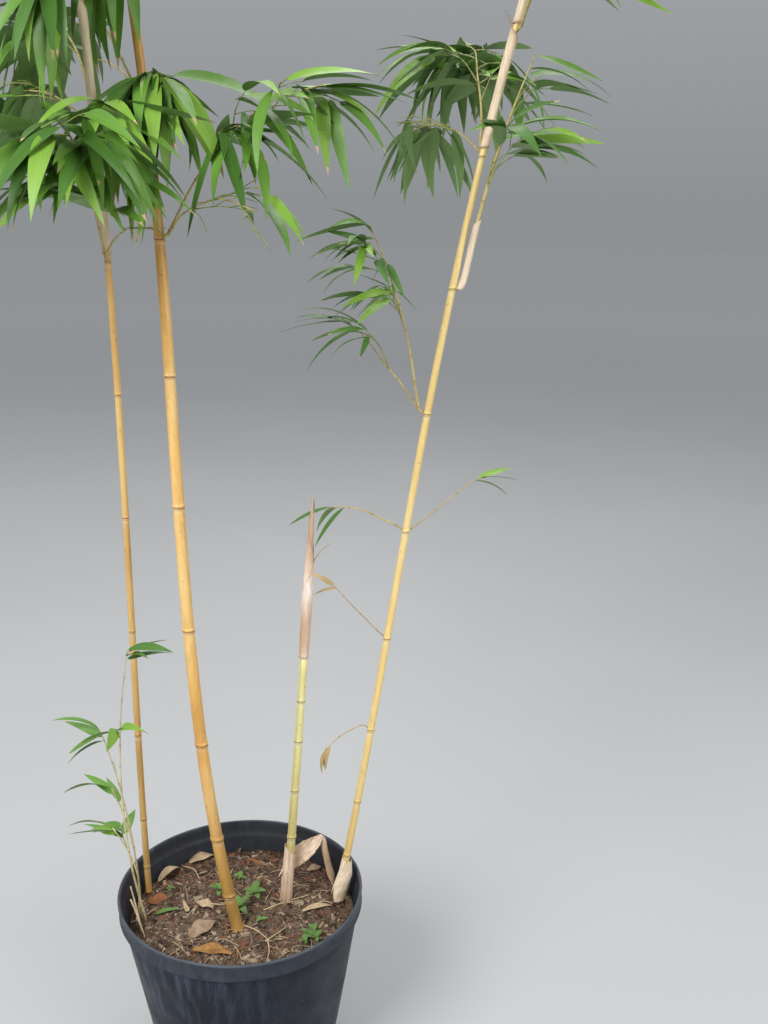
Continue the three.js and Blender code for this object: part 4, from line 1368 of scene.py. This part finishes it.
def side_limb(parent, share, turn, lift, length, radius, leaves, key):
    """A thin twig off a limb, where turn and lift are against the limb's own heading there."""
    path = parent["path"]
    i = max(1, min(len(path) - 2, int(share * (len(path) - 1))))
    along = path[i + 1] - path[i - 1]
    azimuth = azimuth_of(along) + turn
    elevation = elevation_of(along) * FINE.lift + lift
    middle = path[i] + heading(azimuth, elevation) * length / 2
    end = middle + heading(azimuth - turn * 0.2, elevation - FINE.sag) * length / 2
    return limb([path[i], middle, end], radius, leaves, key, 0)


def grow_side_twigs(twig):
    """A short twig off each side of a twig."""
    length = np.linalg.norm(twig["points"][-1] - twig["points"][0]) * FINE.side_share
    for n, share in enumerate(FINE.side_at):
        key = twig["seed"] + 5000 + n
        side = 1 if (n + twig["seed"]) % 2 else -1
        turn = side * (FINE.side_turn + swing(FINE.turn_swing, key, 1))
        lift = swing(FINE.lift_swing, key, 2)
        twig["twigs"].append(side_limb(twig, share, turn, lift, length, 0.0009, FINE.side_leaves, key))


def stem_plan(branch, foot, k):
    seed, reach = branch["seed"], branch["reach"]
    hand = 1 if chance(seed, 2) < 0.5 else -1
    turn = branch["azimuth"] + (1 if k else -BRANCH.back) * hand * BRANCH.spread
    length = reach * (WEAKER.reach if k else 1)
    points = stem_points(foot, turn, branch["rise"] - WEAKER.rise * k, branch["arch"], length, seed + k)
    radius = branch["radius"] * (WEAKER.radius if k else 1)
    stem = limb(points, radius, branch.get("leaves", SPRAY.stem), seed + 50 * k, SPRAY.stem)
    for j in range(branch["twigs"] - k):
        share = TWIG.first + TWIG.span * j / branch["twigs"]
        side = 1 if (j + k) % 2 else -1
        away = turn + side * (TWIG.turn + swing(TWIG.turn_swing, seed, 3, k, j))
        lift = branch["rise"] - TWIG.drop - branch["arch"] * share + swing(TWIG.drop_swing, seed, 4, k, j)
        half = reach * TWIG.share * (1 - TWIG.shorten * share) / 2
        begin = on_limb(stem, point_on(points, share))
        bend = begin + heading(away, lift) * half
        end = bend + heading(away, lift - TWIG.sag) * half
        key = seed + 11 * (j + 1) + 50 * k
        stem["twigs"].append(limb([begin, bend, end], TWIG.radius, SPRAY.twig, key, SPRAY.twig))
    more = branch.get("fine", FINE.twigs) - FINE.fewer * k if branch["twigs"] else 0
    for n in range(more):
        j = FINE.first_key + n
        share = FINE.first + FINE.span * (n + 0.5) / more
        bend = (1 if (n + k) % 2 else -1) * (FINE.turn + swing(FINE.turn_swing, seed, 3, k, j))
        lift = swing(FINE.lift_swing, seed, 4, k, j)
        long = reach * TWIG.share * (1 - TWIG.shorten * share) * FINE.shrink
        key = seed + 11 * (j + 1) + 50 * k
        stem["twigs"].append(side_limb(stem, share, bend, lift, long, TWIG.radius, FINE.leaves, key))
    for twig in stem["twigs"]:
        grow_side_twigs(twig)
    return stem


def branch_plan(branch):
    foot = branch["start"] + branch["lead"] * BRANCH.lead
    stems = [stem_plan(branch, foot, 0)]
    main = stems[0]
    main["points"] = [branch["start"], *main["points"]]
    root = branch["start"] - branch["lead"] * 0.005 - UP * BRANCH.above
    main["path"] = smooth_path([root, foot + UP * 0.003, *main["points"][2:]], LIMB.path_spacing)
    if branch["twigs"] and not branch.get("single"):
        stems.append(stem_plan(branch, foot, 1))
    return {**branch, "axis": main["points"], "stems": stems}


def branch_at(culm, height, branch):
    lead = heading(branch["azimuth"])
    start = culm_point(culm, height + BRANCH.above)
    lean = (start - culm_point(culm, height)) / BRANCH.above
    surface = culm_radius(culm, height) * NODE.neck + branch["radius"] * abs(np.dot(lean, lead))
    return branch_plan({**branch, "start": start + lead * (surface + GAP), "lead": lead})


def crown_branches(culm):
    crown = culm["crown"]
    heights = [h for h in node_heights(culm) if crown["from"] < h < culm["height"] - BRANCH.top_clear]
    plants = []
    for i, h in enumerate(heights):
        share = (h - crown["from"]) / (culm["height"] - crown["from"])
        plants.append(branch_at(culm, h, {
            "name": f"foliage_{culm['name']}_{i + 1}",
            "group": culm["name"],
            "azimuth": crown["facing"] + (-1 if i % 2 else 1) * crown["fan"] / 2
            + swing(BRANCH.azimuth_swing, crown["seed"], 5, i),
            "rise": BRANCH.rise + UPWARD.rise * share,
            "arch": BRANCH.arch,
            "reach": crown["reach"] * (1 - UPWARD.reach * share),
            "size": 1 - UPWARD.size * share,
            "radius": BRANCH.radius * (1 - UPWARD.radius * share),
            "twigs": TWIG.count,
            "seed": crown["seed"] * 1000 + i * 200,
        }))
    return plants


def tip_branch(culm):
    top = culm_point(culm, culm["height"])
    lean = top - culm_point(culm, culm["height"] - NODE.top_clear)
    return branch_plan({
        **TIP_BRANCH, "name": f"foliage_{culm['name']}_top", "group": culm["name"], "start": top + UP * GAP,
        "lead": UP, "azimuth": azimuth_of(lean), "arch": BRANCH.arch, "twigs": TWIG.count,
        "seed": culm["crown"]["seed"] * 1000 + 900,
    })


def front_sprays():
    plants = []
    for spec in FRONT_SPRAYS:
        culm = CULMS[spec["culm"]]
        height = min(h for h in node_heights(culm) if h > spec["above"])
        plants.append(branch_at(culm, height, {**spec, "name": "front", "group": culm["name"]}))
    return plants


def low_branches(culm):
    heights = node_heights(culm)
    return [
        branch_at(culm, heights[low["node"] - 1], {
            **low, "group": "low", "twigs": TWIG.count if low["reach"] > LONG_LOW_BRANCH else 0, "fine": 2,
            "seed": 61000 + 200 * low["node"],
        })
        for low in LOW_BRANCHES
    ]


def side_culm_plan(side, i):
    foot = culm_point(side, 0)
    step = side["height"] / SIDE_CULM.steps
    points = [foot, foot + UP * BRANCH.lead]
    points += [culm_point(side, step * k) for k in range(1, SIDE_CULM.steps + 1)]
    ahead = azimuth_of(points[-1] - points[-2])
    stem = limb(points, side["radius"], SPRAY.twig + 1, side["seed"] * 10, SPRAY.twig)
    for j, share in enumerate(SIDE_CULM.at):
        begin = on_limb(stem, point_on(points, share))
        away = ahead + SIDE_CULM.turn[j] + swing(SIDE_CULM.turn_swing, side["seed"], 6, j)
        end = begin + heading(away, SIDE_CULM.rise) * SIDE_CULM.length
        bend = (begin + end) / 2 + heading(away, -45) * 0.004
        key = side["seed"] * 10 + j + 1
        twig = limb([begin, bend, end], SIDE_CULM.radius, SPRAY.twig + 1, key, SPRAY.twig)
        stem["twigs"].append(twig)
    name, size, broad = f"side_culm_{i + 1}", SIDE_CULM.leaf_size, SIDE_CULM.leaf_breadth
    return {"name": name, "group": "side", "size": size, "broad": broad, "axis": points, "stems": [stem]}


def spray_leaves(twig, size):
    """The leaves at a limb's end alternate back along it. The last runs on, and all of them droop."""
    along = unit(twig["points"][-1] - twig["points"][-2])
    azimuth, elevation, seed = azimuth_of(along), elevation_of(along), twig["seed"]
    rule = SPRAY if twig["coarse"] else FINE
    for i in range(twig["leaves"]):
        side = 0 if i == 0 else 1 if i % 2 else -1
        droop = rule.droop + rule.droop_more * chance(seed, 31, i)
        turn = azimuth + side * (rule.turn + swing(rule.turn_swing, seed, 32, i))
        fall = max(rule.steepest, min(elevation, rule.flattest) - droop)
        direction = heading(turn, fall)
        length = LEAF.length * size * (rule.shortest + rule.longer * chance(seed, 33, i))
        level = Vector(heading(turn + 90))
        level.rotate(Matrix.Rotation(math.radians(swing(SPRAY.roll, seed, 34, i)), 3, Vector(direction)))
        base = point_back(twig["path"], LEAF.step * size * (i + SPRAY.first))
        yield base, base + direction * length, np.array(level), length, (seed, i)


# Keeping apart: a twig or leaf stays nearer to its own stem than to any other, and clear of every culm.


class Space:
    def __init__(self, plants):
        starts, ends, owners = [], [], []
        self.held = {number for number, plant in enumerate(plants) if plant["name"] != "front"}
        for number in self.held:
            plant = plants[number]
            starts += plant["axis"][:-1]
            ends += plant["axis"][1:]
            owners += [number] * (len(plant["axis"]) - 1)
        self.axes, self.owners = (np.array(starts), np.array(ends)), np.array(owners)
        starts, ends, radii = [], [], []
        for culm in [*CULMS, {**SHOOT, "height": SHOOT["height"] + SHOOT_TIP.height}]:
            heights = np.linspace(0, culm["height"], KEEP.culm_samples + 1)
            line = [culm_point(culm, h) for h in heights]
            starts += line[:-1]
            ends += line[1:]
            radii += [culm_radius(culm, h) for h in heights[:-1]]
        self.culms, self.radii = (np.array(starts), np.array(ends)), np.array(radii)

    @staticmethod
    def distances(segments, points):
        start, end = segments
        run = end - start
        from_start = points[:, None, :] - start[None]
        share = np.clip((from_start * run).sum(-1) / (run * run).sum(-1), 0, 1)
        return np.linalg.norm(from_start - share[..., None] * run, axis=-1)

    def free(self, number, points, box, clear):
        points = np.asarray(points)
        low, high = box
        stray = FINE.stray
        if (points < low - stray).any() or (points > high + stray).any():
            return False
        if (points[:, 2] < SOIL.top + clear).any():
            return False
        if number in self.held:
            gaps = self.distances(self.axes, points)
            own = gaps[:, self.owners == number].min(1)
            other = gaps[:, self.owners != number].min(1)
            if (other < own).any():
                return False
        return bool((self.distances(self.culms, points) > self.radii + clear).all())


TINTS = ("fresh", "mid", "deep")
GROUPS = ("left", "thick", "right", "low", "side")
# The share of the leaves that end in a dry tip.
DRY_TIPS = 0.3


def tint_of(seed, name):
    if name.startswith("dry"):
        return "dry"
    roll = chance(seed, 41)
    return "fresh" if roll < 0.34 else "mid" if roll < 0.78 else "deep"


def add_limb(shape, path, radius, tip_radius, sides, internode, material):
    """A jointed limb: a small swelling with a dark ring at each node."""
    run = distances_along(path)
    length = run[-1]
    places = set(np.linspace(0, length, max(2, int(length / LIMB.spacing) + 1)))
    nodes = np.arange(internode * 0.5, length - LIMB.end, internode)
    for n in nodes:
        places.update(n + d for d in LIMB.near_node if 0 < n + d < length)
    places = sorted(places)
    kept = [places[0]] + [b for a, b in zip(places, places[1:]) if b - a > LIMB.closest]
    radii, rings = [], []
    for s in kept:
        d = min((abs(s - n) for n in nodes), default=1)
        swollen = 1 + LIMB.swelling * bell(d, 0, LIMB.swelling_wide)
        radii.append((radius + (tip_radius - radius) * s / length) * swollen)
        rings.append(bell(d, 0, LIMB.ring_wide))
    shape.add_tube(points_at(path, run, kept), radii, sides, material, ring=np.repeat(rings, sides))


def grow(plants, twig_shapes, leaf_shapes):
    """Adds every limb and leaf that has room, those of a limb before those of its twigs."""
    space = Space(plants)
    for number, plant in enumerate(plants):
        group, name = plant["group"], plant["name"]
        box = tuple(np.array(corner) for corner in (cad_box if name == "front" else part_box(name)))
        floor = LEAVES_ABOVE.get(group, 0)
        sides = 7 if group in ("low", "side") else 6

        def grow_limb(twig, depth):
            material = 1 if name.startswith("dry") else 2 if depth else 0
            internode = LIMB.internodes[min(depth, 2)]
            tip_radius = min(twig["radius"] * LIMB.tip_share, LIMB.tip if depth else BRANCH.tip)
            shape, around = twig_shapes[group], sides - min(depth, 1)
            add_limb(shape, twig["path"], twig["radius"], tip_radius, around, internode, material)
            leaves = leaf_shapes[group, tint_of(twig["seed"], name)]
            for base, tip, across, length, keys in spray_leaves(twig, plant["size"]):
                width = length * LEAF.width * (0.86 + 0.3 * chance(*keys, 7)) * plant.get("broad", 1)
                line = base + (tip - base) * np.array((0.2, 0.4, 0.6, 0.8, 1.0))[:, None]
                edges = np.concatenate([line, line[:3] - across * width / 2, line[:3] + across * width / 2])
                if tip[2] < floor or not space.free(number, edges, box, FINE.keep_clear):
                    continue
                form = {
                    "bow": 0.02 + 0.13 * chance(*keys, 8), "twist": swing(0.7, *keys, 9),
                    "fold": 0.12 + 0.2 * chance(*keys, 10), "wave": 0.05 * chance(*keys, 11),
                }
                add_leaf(leaves, base, tip, across, width, dry_tip=chance(*keys, 12) < DRY_TIPS, **form)
            for side in twig["twigs"]:
                samples = side["path"][:: max(1, len(side["path"]) // KEEP.twig_samples)][1:]
                if side["path"][-1][2] > floor and space.free(number, samples, box, FINE.keep_clear):
                    grow_limb(side, depth + 1)

        for stem in plant["stems"]:
            grow_limb(stem, 0)


# Distances along the side shoot. The sheath lies straight where the stem bends out from the culm.
SIDE_SHEATH = Spec(start=0.006, length=0.112, point=0.014, straight=0.028, turn=200)


def make_side_shoot_sheath(stem, paper):
    """The pale sheath round the side shoot's first internode, with a slanted mouth."""
    run, rows = distances_along(stem["path"]), 30

    def point(u, v):
        at = SIDE_SHEATH.start + (SIDE_SHEATH.length + SIDE_SHEATH.point * (1 - abs(v))) * u
        steps = (0, max(0.004, SIDE_SHEATH.straight - at))
        middle, ahead = (points_at(stem["path"], run, at + step) for step in steps)
        along = unit(ahead - middle)
        side = unit(np.cross(along, (0, 1.0, 0)))
        over = np.cross(along, side)
        angle = math.radians(SIDE_SHEATH.turn * (1 + v))
        wide = stem["radius"] * (1 - 0.75 * at / run[-1]) + 0.0008 + 0.0005 * (v + 1) / 2 + 0.0004 * u
        return middle + wide * (side * math.cos(angle) + over * math.sin(angle))

    shape = Shape(*SHEET)
    add_sheet(shape, sheet_rows(rows, 19, point), edge=along_rows(rows, (0.5, 1, 0.02)), pale=0.4)
    make_sheet("sheath_side_shoot", shape, paper, "sheath", 0.0004)


BARKS = (
    ("straw", (0.36, 0.27, 0.085), (0.52, 0.43, 0.17)),
    ("dry", (0.30, 0.19, 0.09), (0.50, 0.36, 0.20)),
    ("pale", (0.42, 0.35, 0.17), (0.66, 0.58, 0.34)),
    ("green", (0.17, 0.22, 0.045), (0.32, 0.35, 0.10)),
)
LEAF_TONES = (
    ("fresh", (0.165, 0.340, 0.030), (0.26, 0.44, 0.070)),
    ("mid", (0.092, 0.225, 0.020), (0.15, 0.31, 0.05)),
    ("deep", (0.048, 0.140, 0.014), (0.09, 0.21, 0.035)),
    ("dry", (0.36, 0.25, 0.10), (0.52, 0.40, 0.19), 0.65),
)


def make_foliage(paper):
    plants = []
    for culm in CULMS:
        plants += [*crown_branches(culm), tip_branch(culm)]
    plants += front_sprays()
    plants += low_branches(CULMS[2])
    plants += [side_culm_plan(side, i) for i, side in enumerate(SIDE_CULMS)]
    side_shoot = next(plant for plant in plants if plant["name"] == "side_shoot")
    make_side_shoot_sheath(side_shoot["stems"][0], paper)
    twig_shapes = {group: Shape("ring") for group in GROUPS}
    leaf_shapes = {(group, tint): Shape("across") for group in GROUPS for tint in (*TINTS, "dry")}
    grow(plants, twig_shapes, leaf_shapes)

    straw, dry, pale, green = (twig_bark("twig_" + name, *tones) for name, *tones in BARKS)
    for group in GROUPS:
        names = [plant["name"] for plant in plants if plant["group"] == group and plant["name"] != "front"]
        barks = [pale if group == "side" else straw, dry, green]
        make("twigs_" + group, twig_shapes[group], barks, "foliage", names)

    under = green_leaf("leaf_under", (0.130, 0.240, 0.060), (0.20, 0.32, 0.11), 0.55)
    withered = litter("leaf_withered", (0.34, 0.23, 0.10), (0.58, 0.46, 0.26), 60, 0.7)
    tints = {name: green_leaf("leaf_" + name, *look) for name, *look in LEAF_TONES}
    for (group, tint), shape in leaf_shapes.items():
        if shape.points:
            make(f"leaves_{group}_{tint}", shape, [tints[tint], under, withered], "foliage", sharp=60)


# The litter and seedlings that show on the soil, each at its place


FALLEN_LEAVES = table(
    "from to width bow wave tone",
    ((-0.092, -0.080), (-0.052, -0.028), 0.034, 0.22, 0.5, 0),
    ((-0.082, -0.112), (-0.006, -0.122), 0.026, 0.16, 0.4, 1),
    ((-0.196, 0.036), (-0.152, 0.034), 0.030, 0.15, 0.4, 2),
    ((-0.140, 0.158), (-0.088, 0.190), 0.024, 0.2, 0.4, 3),
    ((-0.204, 0.098), (-0.160, 0.150), 0.017, 0.3, 0.3, 3),
    ((0.110, 0.135), (0.145, 0.158), 0.018, 0.2, 0.5, 0),
    ((0.108, 0.002), (0.168, 0.024), 0.014, 0.16, 0.3, 3),
    ((-0.098, 0.030), (-0.062, 0.012), 0.020, 0.2, 0.6, 3),
)
SMALL_LEAVES = Spec(
    count=26, long=(0.014, 0.042), narrow=(0.12, 0.26), shares=(0.5, 0.1, 0.15, 0.25),
    margin=0.02, seed=21,
)
FALLEN_TONES = (
    ("fallen_tan", (0.20, 0.125, 0.075), (0.40, 0.29, 0.19), 80),
    ("fallen_orange", (0.20, 0.085, 0.022), (0.46, 0.25, 0.085), 60),
    ("fallen_red", (0.17, 0.055, 0.02), (0.34, 0.15, 0.06), 60),
    ("fallen_straw", (0.34, 0.24, 0.14), (0.58, 0.44, 0.28), 90),
)
# Dead stubs that lean up the pot's wall where the side culms stand: foot, top, radius.
STUBS = [
    ((-0.176, -0.062), (-0.2000, -0.034, 0.362), 0.0021),
    ((-0.181, -0.056), (-0.1975, -0.022, 0.350), 0.0017),
    ((-0.185, -0.046), (-0.2040, -0.010, 0.372), 0.0019),
    ((-0.172, -0.070), (-0.1880, -0.052, 0.336), 0.0015),
]
STRAWS = [
    [(0.036, 0.002), (0.074, 0.026), (0.120, 0.051)],
    [(0.002, -0.040), (0.030, -0.060), (0.056, -0.084)],
    [(0.050, -0.086), (0.070, -0.062), (0.084, -0.044)],
    [(0.054, -0.084), (0.059, -0.110), (0.058, -0.140)],
    [(-0.086, 0.028), (-0.050, 0.020), (-0.014, 0.030)],
    [(0.128, 0.022), (0.150, 0.036), (0.168, 0.030)],
    [(-0.150, 0.150), (-0.120, 0.130), (-0.104, 0.100)],
    [(0.060, 0.060), (0.094, 0.082), (0.120, 0.080)],
]
SMALL_STRAWS = Spec(count=60, long=(0.02, 0.06), radius=(0.0004, 0.0009), margin=0.03, seed=22)
SEEDLINGS = table(
    "at leaves size",
    ((0.012, 0.046), 6, 0.029),
    ((-0.012, 0.004), 6, 0.024),
    ((-0.056, 0.050), 5, 0.024),
    ((0.034, -0.030), 3, 0.016),
    ((-0.023, 0.100), 7, 0.017),
    ((-0.156, 0.064), 5, 0.010),
    ((0.128, -0.070), 6, 0.017),
    ((0.142, -0.080), 6, 0.016),
    ((0.136, -0.058), 6, 0.015),
    ((0.122, -0.088), 6, 0.014),
    ((-0.030, 0.036), 3, 0.013),
)
GREEN_BLADE = {"from": (-0.170, -0.012), "to": (-0.120, 0.004), "width": 0.012}


def make_fallen_leaves():
    shape = Shape("across")
    for spec in FALLEN_LEAVES:
        base, tip = rest_on_soil(*spec["from"], 0.003), rest_on_soil(*spec["to"], 0.003)
        across = level_across(base, tip)
        form = {"bow": spec["bow"], "fold": -0.25, "wave": spec["wave"] / 2, "outline": ROUND_WIDTHS}
        add_scrap(shape, base, tip, across, spec["width"], spec["tone"], **form)
    rng = np.random.default_rng(SMALL_LEAVES.seed)
    for _ in range(SMALL_LEAVES.count):
        start = np.array(random_place(rng, SMALL_LEAVES.margin))
        turn, long = rng.uniform(0, 360), rng.uniform(*SMALL_LEAVES.long)
        base, tip = rest_on_soil(*start, 0.002), rest_on_soil(*(start + long * heading(turn)[:2]), 0.002)
        across = unit(np.cross(UP, tip - base) + UP * rng.normal(0, 0.01))
        tone = int(rng.choice(4, p=SMALL_LEAVES.shares))
        form = {"bow": rng.uniform(0.02, 0.1), "fold": rng.uniform(-0.5, 0.5), "wave": rng.uniform(0, 0.4)}
        add_scrap(shape, base, tip, across, long * rng.uniform(*SMALL_LEAVES.narrow), tone, **form)
    make("fallen_leaves", shape, [litter(*tones) for tones in FALLEN_TONES], "soil", sharp=60)


def make_straws():
    """Long straws at their places, the dead stubs, and short straws all over."""
    shape = Shape()
    for route in STRAWS:
        path = smooth_path([rest_on_soil(x, y, 0.0035) for x, y in route], 0.006)
        shape.add_tube(path, np.linspace(0.0013, 0.0007, len(path)), 8)
    for (x, y), top, radius in STUBS:
        foot = rest_on_soil(x, y, -0.003)
        middle = (foot + top) / 2 + (0.002, -0.001, 0)
        path = smooth_path(np.array([foot, middle, top]), 0.006)
        points, faces = tube(path, np.linspace(radius, radius * 0.7, len(path)), 10)
        shape.add(out_of_round(points), faces)
    rng = np.random.default_rng(SMALL_STRAWS.seed)
    for _ in range(SMALL_STRAWS.count):
        start = random_place(rng, SMALL_STRAWS.margin)
        long, radius = rng.uniform(*SMALL_STRAWS.long), rng.uniform(*SMALL_STRAWS.radius)
        path = lying_strand(rng, start, rng.uniform(0, 360), long, radius + 0.001, rng.normal(0, 3), 0.002)
        shape.add_tube(path, radius * np.linspace(1, 0.6, len(path)), 6)
    make("straws", shape, [litter("straw", (0.42, 0.30, 0.16), (0.70, 0.56, 0.36), 70, 0.6)], "soil")


def make_seedlings():
    """Small weeds and one green blade on the mulch."""
    shape = Shape("across")
    for seed, spec in enumerate(SEEDLINGS, 1):
        foot = rest_on_soil(*spec["at"])
        top = foot + UP * (spec["size"] * 0.45)
        shape.add_tube([foot - UP * 0.003, (foot + top) / 2, top], 0.0007, 6, 1)
        for i in range(spec["leaves"]):
            turn, rise = 360 * i / spec["leaves"] + swing(24, seed, i), 14 + swing(22, seed, 2, i)
            length = spec["size"] * (0.65 + 0.45 * chance(seed, 3, i))
            form = {"bow": 0.14, "fold": 0.25, "outline": ROUND_WIDTHS}
            tip = top + heading(turn, rise) * length
            add_leaf(shape, top, tip, heading(turn + 90), length * 0.6, (0, 1, 1), **form)
    base, tip = (rest_on_soil(*GREEN_BLADE[end], 0.004) for end in ("from", "to"))
    add_leaf(shape, base, tip, level_across(base, tip), GREEN_BLADE["width"], (0, 1, 1), bow=0.1, fold=0.2)
    bright = green_leaf("seedling_upper", (0.080, 0.165, 0.026), (0.14, 0.24, 0.06), 0.55, 12)
    soft = green_leaf("seedling_under", (0.13, 0.21, 0.06), (0.19, 0.28, 0.10), 0.6, 12)
    make("seedlings", shape, [bright, soft], "foliage", sharp=60)


# Each cane's three tones, those of its foot, stripe and bloom, and where its first groove or stripe faces.
CANES = table(
    "culm sides facing name tones",
    (CULMS[0], 28, 250, "cane_gold", (
        ((0.50, 0.27, 0.07), (0.68, 0.43, 0.14), (0.80, 0.60, 0.27)),
        (0.44, 0.26, 0.08), (0.5, 0.3, 0.08), (0.74, 0.60, 0.36),
    )),
    (CULMS[1], 36, 300, "cane_orange", (
        ((0.50, 0.24, 0.045), (0.73, 0.41, 0.105), (0.84, 0.58, 0.23)),
        (0.35, 0.21, 0.06), (0.5, 0.3, 0.08), (0.74, 0.56, 0.31),
    )),
    (CULMS[2], 28, 230, "cane_pale", (
        ((0.62, 0.42, 0.13), (0.80, 0.60, 0.24), (0.90, 0.74, 0.38)),
        (0.62, 0.41, 0.13), (0.6, 0.42, 0.12), (0.82, 0.70, 0.44),
    )),
    (SHOOT, 32, 232, "cane_young", (
        ((0.62, 0.54, 0.20), (0.74, 0.67, 0.29), (0.82, 0.77, 0.43)),
        (0.50, 0.41, 0.14), (0.27, 0.29, 0.085), (0.80, 0.76, 0.52),
    )),
)
# The papers' three tones, the tone of their specks and how dense those are, and their roughness.
PAPERS = (
    ("sheath", ((0.56, 0.42, 0.27), (0.76, 0.60, 0.42), (0.88, 0.75, 0.57)), (0.30, 0.18, 0.10), 0.35),
    ("tip", ((0.54, 0.37, 0.24), (0.75, 0.56, 0.41), (0.90, 0.77, 0.68)), (0.38, 0.22, 0.13), 0.4),
    ("husk", ((0.52, 0.35, 0.22), (0.76, 0.57, 0.40), (0.90, 0.73, 0.56)), (0.26, 0.14, 0.08), 0.8, 0.7),
    ("cream", ((0.66, 0.48, 0.31), (0.88, 0.71, 0.51), (0.96, 0.84, 0.66)), (0.34, 0.20, 0.11), 0.8, 0.7),
)

# Assembly

set_camera()
set_light()
set_floor()
make_pot()
make_soil()
make_bark_chips()
make_fibres()
make_grit()
make_fallen_leaves()
make_straws()
make_seedlings()

for spec in CANES:
    slot, stripe = ("young_cane", 0.5) if spec["culm"] is SHOOT else ("golden_cane", 0)
    make_culm(spec["culm"], spec["sides"], cane(spec["name"], *spec["tones"]), slot, spec["facing"], stripe)

papers = {name: papery(name + "_paper", *look) for name, *look in PAPERS}
blade_paper = litter("blade_paper", (0.40, 0.28, 0.16), (0.62, 0.48, 0.32), 90, 0.7, (1, 1, 0.3))
for number, (name, culm_number, node) in enumerate(SHEATHS):
    culm = CULMS[culm_number]
    heights = node_heights(culm)
    low, high = heights[node - 1] + SHEATH.above, heights[node] - SHEATH.below
    make_sheath(name, culm, low, high, papers["sheath"], blade_paper, 11 + number, 200 + 180 * (number % 2))
make_tip_core(papers["tip"])
make_tip_wraps(papers["tip"])
make_tip_blades(blade_paper)
make_shoot_husk(papers["husk"])
make_right_husk(papers["cream"])
make_peeled(papers["husk"])
make_foliage(papers["sheath"])
